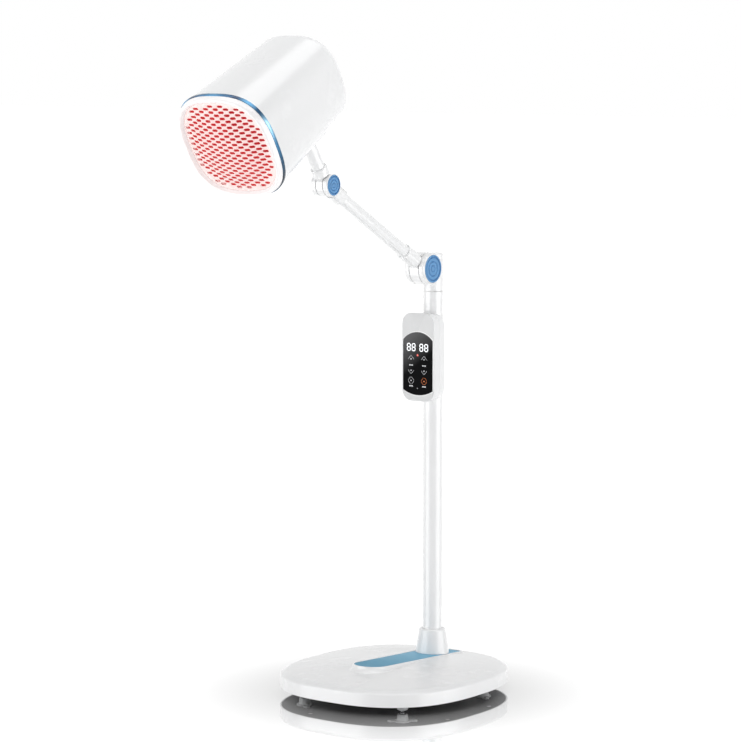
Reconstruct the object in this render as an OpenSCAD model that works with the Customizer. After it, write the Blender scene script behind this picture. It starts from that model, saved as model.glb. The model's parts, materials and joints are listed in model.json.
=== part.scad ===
// Infrared heat therapy lamp on a rolling floor stand.
// Millimetres. +X points the way the lamp faces, +Y lies along the joint pins, +Z is up.
// The origin is on the floor under the middle of the base.

/* [Base] */
// Length of the base, front to back
base_l = 364; // [320:1:420]
// Width of the base
base_w = 331; // [300:1:380]
// Squareness of the base outline, 2 is an ellipse
base_power = 2.6; // [2.2:0.1:3.4]
// Gap between the floor and the rim of the base
base_gap = 15; // [14:0.5:22]
// Height of the upright side wall
wall_h = 21; // [18:0.5:30]
// Height of the sloping edge above the wall
bevel_h = 5; // [3:0.5:8]
// Inward reach of the sloping edge
bevel_in = 10; // [6:0.5:14]
// Rise of the top from its edge to its middle
crown_h = 9; // [6:0.5:14]
// Wall thickness of the base cover
base_wall = 3; // [2.4:0.1:4]
// Thickness of the bottom tray
tray_t = 3; // [2.5:0.1:4]
// Thickness of the steel ballast plate
ballast_t = 10; // [6:0.5:11]

/* [Inlay] */
// Width of the blue inlay
inlay_w = 56; // [46:1:70]
// Front end of the inlay, measured from the middle of the base
inlay_front = 90; // [60:1:110]
// Rear end of the inlay, measured from the middle of the base
inlay_rear = 150; // [142:1:158]
// Height of the ridge above the top at its front end
ridge_rise = 9.5; // [5:0.5:14]
// White rim left round the inlay
ridge_rim = 2; // [1.5:0.1:4]
// Outward slope of the ridge's skirt
ridge_skirt = 7; // [3:0.5:12]
// Thickness of the inlay
inlay_t = 2.4; // [1.5:0.1:2.6]

/* [Casters] */
// Distance of each ball caster from the near end of the base
caster_end = 70; // [64:1:82]
// Distance of each ball caster from the near side of the base
caster_side = 67.5; // [63.5:0.5:75.5]
// Radius of the rolling ball
ball_r = 6.5; // [6:0.1:6.8]
// Reach of the flange from its middle to the end of each ear
ear_reach = 24; // [21:0.5:28]
// Thickness of the caster flange
flange_t = 2; // [1.6:0.1:3]

/* [Pole] */
// Diameter of the pole
pole_d = 32; // [30:0.5:36]
// Wall thickness of the pole
pole_wall = 1.5; // [1.2:0.1:2]
// Distance of the pole behind the middle of the base
pole_back = 106; // [95:1:112]
// Height of the top of the pole above the floor
pole_top = 646; // [630:1:760]
// Height of the tapered boot at the foot of the pole
boot_h = 41; // [30:1:60]
// Diameter of the boot at its foot
boot_d = 56; // [48:1:60]
// Diameter of the boot at its top
boot_top_d = 43; // [40:1:48]

/* [Control box] */
// Distance of the middle of the control box below the top of the pole
box_drop = 105; // [100:1:240]
// Height of the front of the control box
box_h = 144; // [125:1:170]
// Width of the front of the control box
box_w = 64; // [62:1:76]
// Depth of the control box
box_t = 31; // [27:0.5:34]
// Distance from the middle of the pole to the front of the control box
box_front = 42; // [41.5:0.5:43]
// Inward slope of the sides towards the pole, at the top and bottom
box_taper = 2.5; // [1:0.5:8]
// Radius of the corners of the control box
box_corner = 18; // [12:1:22]
// Width of the black glass
glass_w = 59; // [48:0.5:59.5]
// Height of the straight sides of the glass
glass_side = 82; // [60:1:90]
// Rise of the arc at the top of the glass
glass_top_arc = 13; // [8:0.5:16]
// Drop of the arc at the bottom of the glass
glass_low_arc = 8; // [5:0.5:12]
// Drop of the middle of the glass below the middle of the box
glass_drop = 13; // [8:0.5:15]

/* [Arm] */
// Height of the elbow axis above the top of the pole
elbow_rise = 39; // [38:0.5:50]
// Distance of the elbow axis in front of the pole
elbow_ahead = 28; // [26:0.5:36]
// Radius of the elbow drum
elbow_r = 26.4; // [24:0.2:27]
// Half the width of the elbow hub between its washers
elbow_half = 8.8; // [7:0.2:10]
// Thickness of each elbow ear
elbow_ear = 7.5; // [6:0.5:9]
// Distance from the elbow axis to the wrist axis
arm_l = 297; // [240:1:340]
// Angle of the arm above the horizontal
arm_rise = 29.3; // [15:0.5:45]
// Diameter of the arm tube and of the neck tube
tube_d = 21; // [18:0.5:22]
// Wall thickness of the arm tube and of the neck tube
tube_wall = 1.5; // [1.2:0.1:2.5]
// Outer diameter of the sockets that hold the tubes
socket_d = 26.5; // [25:0.5:29]
// Distance from the elbow axis to the mouth of its socket
elbow_mouth = 63; // [50:1:80]

/* [Wrist] */
// Radius of the wrist drum
wrist_r = 17.6; // [17:0.2:19]
// Half the width of the wrist hub between its washers
wrist_half = 6.2; // [5.6:0.2:8]
// Thickness of each wrist ear
wrist_ear = 6.4; // [5.5:0.2:8]
// Distance from the wrist axis to the mouth of its socket
wrist_mouth = 34; // [30:0.5:44]
// Lean of the neck forward from upright
neck_lean = 34; // [20:1:45]
// Distance from the wrist axis to the underside of the head
neck_l = 97.7; // [88:0.5:120]

/* [Head] */
// Half the width of the head at the ring
head_half = 85.5; // [78:0.5:95]
// Squareness of the head's section, 2 is a circle
head_power = 2.8; // [2.4:0.1:3.6]
// Length of the shell behind the ring
head_l = 211.5; // [186:0.5:240]
// Share of the width that is left at the rear
head_taper = 0.85; // [0.78:0.01:0.95]
// Radius of the rounded rear edge
rear_r = 20; // [10:1:26]
// Downward pitch of the head
head_pitch = 29.8; // [15:0.5:45]
// Distance of the neck behind the ring, along the head
neck_back = 155.6; // [142:0.5:170]
// Wall thickness of the shell
shell_wall = 2.2; // [1.8:0.1:3]
// Width of the blue ring
ring_w = 6; // [4:0.5:8]
// Distance by which the ring stands proud of the shell
ring_proud = 0.8; // [0.4:0.1:1.5]
// Depth of the bezel in front of the ring
bezel_depth = 10; // [9:0.5:15]
// Width of the bezel from its outer edge to the guard
bezel_lip = 8; // [7.5:0.5:10]
// Outward slope of the bezel's wall from the guard to its lip
bezel_slope = 3.5; // [1:0.5:3.5]

/* [Guard] */
// Bulge of the guard at its middle
guard_bulge = 9.5; // [6:0.5:14]
// Width of the flat edge round the guard's dome
guard_flange = 8; // [5:0.5:12]
// Thickness of the guard's sheet
guard_t = 1.2; // [1:0.1:2]
// Distance between neighbouring columns of slots
slot_pitch_y = 9.6; // [9.4:0.1:14]
// Distance between slots in one column
slot_pitch_x = 9.3; // [9.2:0.1:14]
// Length of each slot
slot_l = 10.6; // [7:0.1:10.8]
// Height of each slot
slot_h = 3.8; // [3:0.1:4]

/* [Heater] */
// Half the width of the ceramic heater
heater_half = 48; // [40:1:52]
// Thickness of the ceramic heater
heater_t = 8; // [6:0.5:12]
// Distance of the heater's face behind the ring
heater_back = 54; // [45:1:65]
// Distance of the heat shield behind the ring
shield_back = 84; // [80:1:95]

/* [Hidden] */
$fn = 64;
side_n = 72;                 // points round a rounded square
fit = 0.05;                  // radial clearance of a pin or a tube in its hole
gap = 0.3;                   // clearance between neighbouring pieces
fuse = 0.4;                  // overlap of shapes that are one piece
far = 400;                   // longer than any cut needs

// base
half_l = base_l / 2;
half_w = base_w / 2;
rim_r = 2.5;                 // rounding of the lower edge of the wall
wall_top = base_gap + wall_h;
crease_z = wall_top + bevel_h;
crease_l = half_l - bevel_in;
crease_w = half_w - bevel_in;
crown_z = crease_z + crown_h;
tray_z = base_gap + 0.5;
tray_top = tray_z + tray_t;
tray_inset = base_wall + gap;
dome_steps = [0.97, 0.9, 0.78, 0.62, 0.45, 0.28, 0.12];
// share of the base at which the cover screws stand
post_places = [[0.857, 0.314], [0.319, 0.888]];
post_r = 5;
cover_screw_r = 1.75;
cover_screw_head_r = 3.4;
cover_screw_head_t = 1.6;
cover_screw_l = 16;

// pole foot
pole_x = -pole_back;
pole_r = pole_d / 2;
pole_in = pole_r - pole_wall;
ballast_top = tray_top + ballast_t;
ballast_l = half_l - 44;
ballast_w = half_w - 37.5;
foot_r = 31;
foot_t = 4;
foot_top = ballast_top + foot_t;
spigot_top = 130;
spigot_wall = 2;
bolt_r = 3;
bolt_head_r = 4.8;
bolt_head_t = 3.6;
bolt_l = 12;
bolt_circle = 24.5;
wire_r = 3.5;
wire_z = foot_top + 6.5;

// inlay and ridge
ridge_front = inlay_front + ridge_rim;
ridge_rear = -inlay_rear - ridge_rim;
ridge_half = inlay_w / 2 + ridge_rim;
ridge_front_z = dome_z(inlay_front, 0) + ridge_rise;
ridge_rear_z = dome_z(-inlay_rear, 0) + 2.2;
ridge_slope = (ridge_front_z - ridge_rear_z) / (inlay_front + inlay_rear);
ridge_tilt = atan(ridge_slope);
boot_bevel = 1.6;

// casters
caster_x = half_l - caster_end;
caster_y = half_w - caster_side;
ball_gap = 0.3;
caster_lip = 3.6;
caster_r = ball_r + 2.2;
flange_r = 13;
flange_low = tray_z - flange_t;
ear_r = 5;
ear_hole = ear_reach - ear_r;
boss_r = 8.6;
boss_up = tray_t - 0.5;
caster_screw_r = 1.5;
caster_screw_head_r = 2.7;
caster_screw_head_t = 1.2;
caster_turn = atan2(caster_y, caster_x) + 90;

// cable gland in the rear wall
gland_bore = 3.6;
gland_r = 6;
gland_flange_r = 8;
gland_flange_t = 3;
gland_l = 17;
gland_z = base_gap + 11.5;

// elbow
elbow_x = pole_x + elbow_ahead;
elbow_z = pole_top + elbow_rise;
washer_t = 1;
washer_gap = 0.1;
elbow_in = elbow_half + washer_t + 2 * washer_gap;
elbow_out = elbow_in + elbow_ear;
elbow_cap_r = 22.5;
elbow_cap_t = 3.4;
elbow_pin_r = 5;
elbow_head_r = 8;
elbow_head_t = 3.4;
bush_flange_t = 0.8;
neck_foot = pole_top + bush_flange_t + gap;
neck_top = elbow_z + 24;
neck_round = 4;
pan_r = 11;
pan_low = pole_top - 56;
bush_low = pole_top - 60;
tube_r = tube_d / 2;
tube_in = tube_r - tube_wall;
socket_r = socket_d / 2;
socket_gap = 0.8;
socket_floor = 3;

// wrist
wrist_x = elbow_x + arm_l * cos(arm_rise);
wrist_z = elbow_z + arm_l * sin(arm_rise);
wrist_in = wrist_half + washer_t + 2 * washer_gap;
wrist_out = wrist_in + wrist_ear;
wrist_cap_r = 16;
wrist_cap_t = 3.2;
wrist_pin_r = 4;
wrist_head_r = 6.5;
wrist_head_t = 2.8;
wrist_root = 20;
wrist_root_end = 44;
saddle_depth = 15;
saddle_r = 19;
saddle_half_y = 25;
saddle_ahead = 24;
saddle_behind = 32;
saddle_screw_r = 2;

// head
shoulder = head_l - rear_r;
rear_share = (1 - head_taper) / shoulder;
ring_half = ring_w / 2;
bezel_front = ring_half + bezel_depth;
bezel_in = head_half - bezel_lip - 1.5;
ledge_z = ring_half + 1;
guard_half = bezel_in - gap;
guard_edge_z = ring_half + 4.7;
dome_half = guard_half - guard_flange;
guard_r = (dome_half * dome_half + guard_bulge * guard_bulge) / (2 * guard_bulge);
guard_centre = guard_edge_z + guard_bulge - guard_r;
guard_rim = 2.2;
slot_field = guard_half - guard_rim - 0.6;
slot_keep = 1.8;             // how far inside the field the middle of a slot stays
slot_point = 2.6;
slot_columns = ceil(guard_half / slot_pitch_y);
slot_rows = ceil(guard_half / slot_pitch_x);
reflector_t = 1;
post_xy = heater_half * 0.62;
shield_t = 1.5;
post_d = 9;
vent_l = 46;
vent_h = 4;
vent_pitch = 11;
vent_count = 6;
ledge_w = 3.5;
heater_grooves = 6;
heater_pitch = 7.4;
block_l = 34;
block_w = 16;
block_h = 14;
collar_l = 7;
saddle_seat = 0.8;           // room under a screw head for the curve of the shell
saddle_head_r = 3.6;
saddle_head_t = 2.4;
saddle_screw_l = 12;

// control box
box_x = pole_x + box_front;
box_z = pole_top - box_drop;
box_seam = 15;               // depth of the joint between its halves
box_shell = 2.2;
box_round = 0.8;
box_side_share = 0.45;       // inward slope of the sides as a share of the top's
box_half_h = box_h / 2;
box_half_w = box_w / 2;
box_post_r = 3.6;
box_screw_x = box_half_h - 20;
box_screw_y = 17;
box_screw_r = 1.4;
box_head_r = 2.6;
box_head_t = 2;
clamp_x = 36;
clamp_r = 2;
clamp_head_r = 3.6;
clamp_head_t = 2.2;
clamp_l = 6;
glass_t = 1.6;
glass_proud = 0.6;
glass_gap = 0.1;
glass_rim = 0.9;
board_back = 8;              // depth of the board behind the front
board_t = 1.6;
board_w = box_w - 14;
board_h = box_h - 54;
display_x = glass_drop - glass_side / 2 + 16;
display_w = 44;
display_h = 20;
relay_l = 19;
relay_w = 15;
relay_h = 9;

caster_names = [for (i = [1:4]) str("caster_housing_", i)];
ball_names = [for (i = [1:4]) str("caster_ball_", i)];
caster_places = [[1, 1], [1, -1], [-1, 1], [-1, -1]];

// ---- outlines and lofts ----

// Rounded square |x/a|^n + |y/b|^n = 1, as points
function squircle(a, b, n, count = side_n) = [
    for (i = [0:count - 1])
        let (t = 360 * i / count, c = cos(t), s = sin(t))
        let (r = pow(pow(abs(c), n) + pow(abs(s), n), -1 / n))
        [a * r * c, b * r * s]];

// A flat outline lifted to height z
function lift(outline, z) = [for (p = outline) [p[0], p[1], z]];

// Rectangle with round corners, as points
function round_rect(a, b, r, k = 6) = [
    for (q = [0:3], j = [0:k])
        let (t = 90 * q + 90 * j / k)
        let (sx = (q == 0 || q == 3) ? 1 : -1, sy = q < 2 ? 1 : -1)
        [sx * (a - r) + r * cos(t), sy * (b - r) + r * sin(t)]];

// Skin over a stack of rings, closed by a flat face at each end, or run round into itself
module loft(rings, loop = false) {
    n = len(rings[0]);
    m = len(rings);
    points = [for (ring = rings) each ring];
    sides = [
        for (j = [0:m - (loop ? 1 : 2)], i = [0:n - 1])
            let (a = j * n + i, b = j * n + (i + 1) % n)
            let (c = ((j + 1) % m) * n + (i + 1) % n, d = ((j + 1) % m) * n + i)
            each [[a, c, b], [a, d, c]]];
    ends = loop ? [] : [[for (i = [0:n - 1]) i], [for (i = [n - 1:-1:0]) (m - 1) * n + i]];
    polyhedron(points, concat(sides, ends));
}

// ---- frames that the pieces stand in ----

// Z runs along the arm from the elbow axis
module arm_frame() {
    translate([elbow_x, 0, elbow_z]) rotate([0, 90 - arm_rise, 0]) children();
}

// Z runs up the neck from the wrist axis
module neck_frame() {
    translate([wrist_x, 0, wrist_z]) rotate([0, neck_lean, 0]) children();
}

// Z runs forward out of the head from the ring, X runs down through the head
module head_frame() {
    under = head_half * (1 - rear_share * neck_back);
    x = wrist_x + neck_l * sin(neck_lean) + neck_back * cos(head_pitch) + under * sin(head_pitch);
    z = wrist_z + neck_l * cos(neck_lean) - neck_back * sin(head_pitch) + under * cos(head_pitch);
    translate([x, 0, z]) rotate([0, 90 + head_pitch, 0]) children();
}

// Cylinder along Y between two places
module rod_y(r, y0, y1) {
    translate([0, y0, 0]) rotate([-90, 0, 0]) cylinder(r = r, h = y1 - y0);
}

// Cylinder along X between two places
module rod_x(r, x0, x1) {
    translate([x0, 0, 0]) rotate([0, 90, 0]) cylinder(r = r, h = x1 - x0);
}

// Tube that stands on z0
module tube(r_out, r_in, z0, z1) {
    difference() {
        translate([0, 0, z0]) cylinder(r = r_out, h = z1 - z0);
        translate([0, 0, z0 - 1]) cylinder(r = r_in, h = z1 - z0 + 2);
    }
}

// ---- base ----

// Height of the domed top over a point of the base
function dome_z(x, y) =
    crown_z - crown_h * pow(
        pow(abs(x) / crease_l, base_power) + pow(abs(y) / crease_w, base_power), 2 / base_power);

// Height of the ridge's top over a point of the base
function ridge_z(x) = ridge_rear_z + (x + inlay_rear) * ridge_slope;

// One ring of the base, set in from the outline
function base_ring(inset, z) = lift(squircle(half_l - inset, half_w - inset, base_power), z);

// One ring of the dome, a share f of the crease, lowered by the wall
function dome_ring(f, inset) = lift(
    squircle((crease_l - inset) * f, (crease_w - inset) * f, base_power),
    crown_z - inset - crown_h * f * f);

// The base as a solid, its outside moved inward by the wall
module base_form(inset = 0) {
    low = inset > 0 ? [base_ring(inset, base_gap - 1)]
        : [base_ring(rim_r, base_gap), base_ring(rim_r * 0.3, base_gap + rim_r * 0.3),
           base_ring(0, base_gap + rim_r)];
    loft(concat(low, [
        base_ring(inset, wall_top - inset * 0.6),
        base_ring(inset + bevel_in * 0.12, wall_top - inset * 0.8 + bevel_h * 0.25),
        base_ring(inset + bevel_in * 0.85, crease_z - inset - bevel_h * 0.12),
        dome_ring(1, inset)],
        [for (f = dome_steps) dome_ring(f, inset)]));
}

// Outline with a round front end and a square rear end, as points
function tongue(front, rear, half, k = 16) = concat(
    [for (j = [0:k]) let (t = -90 + 180 * j / k) [front - half + half * cos(t), half * sin(t)]],
    [[rear, half], [rear, -half]]);

// The ridge under the inlay, its outside moved inward by the wall
module ridge_form(inset = 0) {
    foot = tongue(ridge_front + ridge_skirt - inset, ridge_rear + inset,
                  ridge_half + ridge_skirt - inset);
    top = tongue(ridge_front - inset, ridge_rear + inset, ridge_half - inset);
    drop = inset > 0 ? inset + inlay_t : 0;
    low_z = crease_z - drop - 2;
    soft = [for (i = [0:len(top) - 1]) top[i] * 0.86 + foot[i] * 0.14];
    loft([
        lift(foot, low_z),
        [for (p = foot) [p[0], p[1], max(low_z + 0.1, dome_z(p[0], p[1]) - drop - 0.6)]],
        [for (p = soft) [p[0], p[1], max(low_z + 0.3, ridge_z(p[0]) - drop - 1.2)]],
        [for (p = top) [p[0], p[1], max(low_z + 0.5, ridge_z(p[0]) - drop)]]]);
}

// Shape of the inlay, sunk into the ridge's top
module inlay_form(grow = 0, up = 0) {
    points = tongue(inlay_front + grow, -inlay_rear - grow, inlay_w / 2 + grow);
    loft([
        [for (p = points) [p[0], p[1], ridge_z(p[0]) - inlay_t]],
        [for (p = points) [p[0], p[1], ridge_z(p[0]) + up]]]);
}

// Places of the screws that hold the cover
module at_posts() {
    for (p = post_places, sx = [-1, 1], sy = [-1, 1])
        translate([sx * p[0] * half_l, sy * p[1] * half_w, 0]) children();
}

module at_casters() {
    for (p = caster_places) translate([p[0] * caster_x, p[1] * caster_y, 0])
        rotate([0, 0, p[0] * p[1] * caster_turn]) children();
}

module base_cover() {
    color("white") difference() {
        union() {
            difference() {
                union() {
                    base_form();
                    ridge_form();
                }
                base_form(base_wall);
                ridge_form(base_wall);
            }
            at_posts() translate([0, 0, tray_top + gap])
                cylinder(r = post_r, h = crease_z - base_wall * 0.3 - tray_top - gap);
        }
        inlay_form(gap / 2, 5);
        at_posts() translate([0, 0, tray_top - 1])
            cylinder(r = cover_screw_r + fit, h = cover_screw_l - tray_t + 1.5);
        translate([pole_x, 0, 0]) cylinder(r = pole_r + gap, h = far);
        translate([0, 0, gland_z]) rod_x(gland_r + fit, -half_l - 5, -half_l + 12);
    }
}

module inlay_strip() {
    color("steelblue") difference() {
        inlay_form();
        translate([pole_x, 0, 0]) cylinder(r = pole_r + gap, h = far);
    }
}

module base_tray() {
    color("gainsboro") difference() {
        translate([0, 0, tray_z]) linear_extrude(tray_t)
            polygon(squircle(half_l - tray_inset, half_w - tray_inset, base_power));
        at_posts() {
            translate([0, 0, tray_z - 1]) cylinder(r = cover_screw_r + fit, h = tray_t + 2);
            translate([0, 0, tray_z - 1])
                cylinder(r = cover_screw_head_r + fit, h = cover_screw_head_t + 1);
        }
        at_casters() translate([0, 0, tray_z - 1]) {
            cylinder(r = boss_r + gap, h = tray_t + 2);
            for (s = [-1, 1]) translate([s * ear_hole, 0, 0])
                cylinder(r = caster_screw_r + fit, h = tray_t + 2);
        }
    }
}

module ballast_plate() {
    color("dimgray") difference() {
        translate([0, 0, tray_top]) linear_extrude(ballast_t)
            polygon(squircle(ballast_l, ballast_w, base_power));
        at_casters() cylinder(r = ear_reach + 1, h = far);
        at_posts() cylinder(r = post_r + 1, h = far);
        at_bolts() cylinder(r = bolt_r + fit, h = far);
    }
}

module cover_screws() {
    color("silver") at_posts() translate([0, 0, tray_z]) {
        cylinder(r = cover_screw_head_r, h = cover_screw_head_t);
        cylinder(r = cover_screw_r, h = cover_screw_l);
    }
}

module cable_gland() {
    flange_x = -half_l - gland_flange_t;
    color("dimgray") translate([0, 0, gland_z]) difference() {
        union() {
            rod_x(gland_flange_r, flange_x, -half_l);
            rod_x(gland_r, flange_x, -half_l + gland_l);
        }
        rod_x(gland_bore, flange_x - 1, -half_l + gland_l + 1);
    }
}

// ---- casters ----

module caster_housing(i) {
    p = caster_places[i];
    color("lightgray") translate([p[0] * caster_x, p[1] * caster_y, 0])
        rotate([0, 0, p[0] * p[1] * caster_turn]) difference() {
        union() {
            intersection() {
                translate([0, 0, ball_r]) sphere(r = caster_r);
                translate([0, 0, caster_lip]) cylinder(r = caster_r + 1, h = tray_z - caster_lip);
            }
            translate([0, 0, ball_r]) cylinder(r1 = caster_r, r2 = caster_r + 1,
                                               h = tray_z - ball_r);
            translate([0, 0, flange_low]) {
                cylinder(r = flange_r, h = flange_t);
                for (s = [-1, 1]) translate([s * ear_hole, 0, 0]) cylinder(r = ear_r, h = flange_t);
                translate([-ear_hole, -ear_r, 0]) cube([2 * ear_hole, 2 * ear_r, flange_t]);
            }
            translate([0, 0, flange_low]) cylinder(r = boss_r, h = flange_t + boss_up);
        }
        translate([0, 0, ball_r]) sphere(r = ball_r + ball_gap);
        for (s = [-1, 1]) translate([s * ear_hole, 0, 0])
            cylinder(r = caster_screw_r + fit, h = far);
    }
}

module caster_ball(i) {
    p = caster_places[i];
    color("silver") translate([p[0] * caster_x, p[1] * caster_y, ball_r]) sphere(r = ball_r);
}

module caster_screws() {
    color("silver") at_casters() for (s = [-1, 1])
        translate([s * ear_hole, 0, flange_low - caster_screw_head_t]) {
            cylinder(r = caster_screw_head_r, h = caster_screw_head_t);
            cylinder(r = caster_screw_r, h = caster_screw_head_t + flange_t + tray_t + 1.5);
        }
}

// ---- pole ----

module at_bolts() {
    for (a = [45:90:315]) translate([pole_x, 0, 0]) rotate([0, 0, a])
        translate([bolt_circle, 0, 0]) children();
}

module pole_socket() {
    color("silver") difference() {
        translate([pole_x, 0, 0]) {
            tube(foot_r, pole_in - fit - spigot_wall, ballast_top, foot_top);
            tube(pole_in - fit, pole_in - fit - spigot_wall, foot_top - fuse, spigot_top);
        }
        at_bolts() cylinder(r = bolt_r + fit, h = far);
        translate([0, 0, wire_z]) rod_x(wire_r, pole_x - pole_d, pole_x);
    }
}

module socket_bolts() {
    color("dimgray") at_bolts() {
        translate([0, 0, foot_top]) cylinder(r = bolt_head_r, h = bolt_head_t, $fn = 6);
        translate([0, 0, foot_top - bolt_l]) cylinder(r = bolt_r, h = bolt_l + fuse);
    }
}

module pole_boot() {
    slope = (boot_d - boot_top_d) / 2 / boot_h;
    z0 = ridge_z(pole_x);
    low = -10;
    profile = [
        [pole_r + gap, low], [boot_d / 2 - slope * low, low],
        [boot_top_d / 2 + slope * boot_bevel, boot_h - boot_bevel],
        [boot_top_d / 2 - boot_bevel, boot_h], [pole_r + gap, boot_h]];
    color("white") difference() {
        translate([pole_x, 0, z0]) rotate_extrude() polygon(profile);
        translate([pole_x, 0, z0]) rotate([0, -ridge_tilt, 0])
            translate([-far / 2, -far / 2, -far]) cube([far, far, far]);
    }
}

module pole_tube() {
    color("white") difference() {
        translate([pole_x, 0, 0]) tube(pole_r, pole_in, foot_top + gap, pole_top);
        translate([0, 0, wire_z]) rod_x(wire_r, pole_x - pole_d, pole_x);
        translate([0, 0, box_z]) {
            rod_x(wire_r, pole_x, pole_x + pole_d);
            for (s = [-1, 1]) translate([0, 0, s * clamp_x])
                rod_x(clamp_r + fit, pole_x, pole_x + pole_d);
        }
    }
}

module pan_bush() {
    color("dimgray") translate([pole_x, 0, 0]) {
        tube(pole_in - fit, pan_r + fit, bush_low, pole_top + bush_flange_t);
        tube(pole_r - 0.5, pan_r + fit, pole_top, pole_top + bush_flange_t);
    }
}

// ---- control box ----

// X runs down the front of the box and Z forward out of it
module box_frame() {
    translate([box_x, 0, box_z]) rotate([0, 90, 0]) children();
}

// One ring of the box at a depth behind its front, set in from the outline
function box_ring(depth, inset) =
    let (share = depth / box_t)
    let (a = box_half_h - box_taper * share - inset)
    let (b = box_half_w - box_taper * box_side_share * share - inset)
    lift(round_rect(a, b, max(2, box_corner - inset)), -depth);

// Outline of the glass: straight sides closed by an arc above and one below
function glass_outline(grow = 0, k = 12) =
    let (w = glass_w / 2 + grow, h = glass_side / 2)
    let (up = glass_top_arc + grow, low = glass_low_arc + grow)
    let (r1 = (w * w + up * up) / (2 * up), r2 = (w * w + low * low) / (2 * low))
    let (t1 = asin(w / r1), t2 = asin(w / r2))
    concat(
        [for (j = [0:k]) let (t = -t1 + 2 * t1 * j / k) [-h - up + r1 - r1 * cos(t), r1 * sin(t)]],
        [for (j = [0:k]) let (t = t2 - 2 * t2 * j / k) [h + low - r2 + r2 * cos(t), r2 * sin(t)]]);

module at_glass() {
    translate([glass_drop, 0, 0]) children();
}

module at_grid(x, y) {
    for (sx = [-1, 1], sy = [-1, 1]) translate([sx * x, sy * y, 0]) children();
}

module control_front() {
    color("white") box_frame() difference() {
        union() {
            difference() {
                loft([box_ring(box_seam, 0), box_ring(box_round, 0),
                      box_ring(box_round * 0.3, box_round * 0.3), box_ring(0, box_round)]);
                loft([box_ring(box_seam + 1, box_shell), box_ring(glass_t + box_shell, box_shell)]);
            }
            at_grid(box_screw_x, box_screw_y) translate([0, 0, -box_seam])
                cylinder(r = box_post_r, h = box_seam - glass_t - fuse);
            at_grid(board_h / 2 - 4, board_w / 2 - 4) translate([0, 0, -board_back])
                cylinder(r = box_post_r * 0.6, h = board_back - glass_t - fuse);
            at_glass() translate([0, 0, -fuse]) linear_extrude(fuse + glass_proud) difference() {
                polygon(glass_outline(glass_rim));
                polygon(glass_outline(glass_gap));
            }
        }
        at_glass() translate([0, 0, -glass_t]) linear_extrude(far) polygon(glass_outline(glass_gap));
        translate([display_x, 0, -board_back / 2])
            cube([display_h + 2, display_w + 2, board_back + 1], center = true);
        at_grid(box_screw_x, box_screw_y) translate([0, 0, -box_seam - 1])
            cylinder(r = box_screw_r + fit, h = box_seam - board_back + 3);
    }
}

module control_back() {
    color("white") box_frame() difference() {
        union() {
            difference() {
                loft([box_ring(box_t, box_round), box_ring(box_t - box_round, 0),
                      box_ring(box_seam + gap, 0)]);
                loft([box_ring(box_t - box_shell, box_shell), box_ring(box_seam - 1, box_shell)]);
            }
            intersection() {
                translate([0, 0, -box_front])
                    rod_x(pole_r + fit + box_shell, -box_half_h + box_taper, box_half_h - box_taper);
                translate([-far / 2, -far / 2, -box_t]) cube([far, far, box_t - box_seam - gap]);
            }
            at_grid(box_screw_x, box_screw_y) translate([0, 0, -box_t])
                cylinder(r = box_post_r, h = box_t - box_seam - gap);
        }
        translate([0, 0, -box_front]) rod_x(pole_r + fit, -far, far);
        at_grid(box_screw_x, box_screw_y) {
            translate([0, 0, -box_t - 1]) cylinder(r = box_screw_r + fit, h = box_t);
            translate([0, 0, -box_t - 1]) cylinder(r = box_head_r + fit, h = box_head_t + 1);
        }
        for (s = [-1, 1]) translate([s * clamp_x, 0, -box_t]) cylinder(r = clamp_r + fit, h = box_t);
        translate([0, 0, -box_t]) cylinder(r = wire_r, h = box_t - box_seam);
    }
}

module control_glass() {
    color("black") box_frame() at_glass() translate([0, 0, -glass_t])
        linear_extrude(glass_t + glass_proud / 2) polygon(glass_outline());
}

module control_board() {
    color("darkgreen") box_frame() translate([0, 0, -board_back - board_t / 2])
        cube([board_h, board_w, board_t], center = true);
}

module display_module() {
    color("dimgray") box_frame()
        translate([display_x - display_h / 2, -display_w / 2, -board_back])
        cube([display_h, display_w, board_back - glass_t - gap / 3]);
}

module relay_block() {
    color("royalblue") box_frame()
        translate([-relay_l / 2, -relay_w / 2, -board_back - board_t - relay_h])
        cube([relay_l, relay_w, relay_h]);
}

module control_screws() {
    color("silver") box_frame() at_grid(box_screw_x, box_screw_y) translate([0, 0, -box_t]) {
        cylinder(r = box_head_r, h = box_head_t);
        cylinder(r = box_screw_r, h = box_t - board_back - board_t);
    }
}

// Screws that hold the box to the pole from inside it
module clamp_screws() {
    seat = box_front - pole_r - fit - box_shell;
    color("silver") box_frame() for (s = [-1, 1]) translate([s * clamp_x, 0, -seat]) {
        cylinder(r = clamp_head_r, h = clamp_head_t);
        translate([0, 0, -clamp_l]) cylinder(r = clamp_r, h = clamp_l + fuse);
    }
}

// ---- joints of the arm ----

// Ear of a fork on the side s, with a rim that stands round its cap
module ear(s, y_in, y_out, r, cap_r, cap_t) {
    rim = cap_t * 0.7;
    rotate([-90 * s, 0, 0]) rotate_extrude() polygon([
        [0, y_in], [r, y_in], [r, y_out - 1.6], [cap_r + 1.8, y_out], [cap_r + 1.6, y_out + rim - 0.4],
        [cap_r + 1.2, y_out + rim], [cap_r + 0.2, y_out + rim], [cap_r + 0.2, y_out], [0, y_out]]);
}

// Dished cover on the side s of a joint
module joint_cap(s, y_out, cap_r, cap_t) {
    color("steelblue") rotate([-90 * s, 0, 0]) rotate_extrude() polygon([
        [0, y_out], [cap_r, y_out], [cap_r, y_out + cap_t - 1], [cap_r - 1, y_out + cap_t],
        [cap_r * 0.8, y_out + cap_t], [cap_r * 0.76, y_out + cap_t - 0.5],
        [cap_r * 0.4, y_out + cap_t - 0.2], [0, y_out + cap_t - 0.1]]);
}

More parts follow.
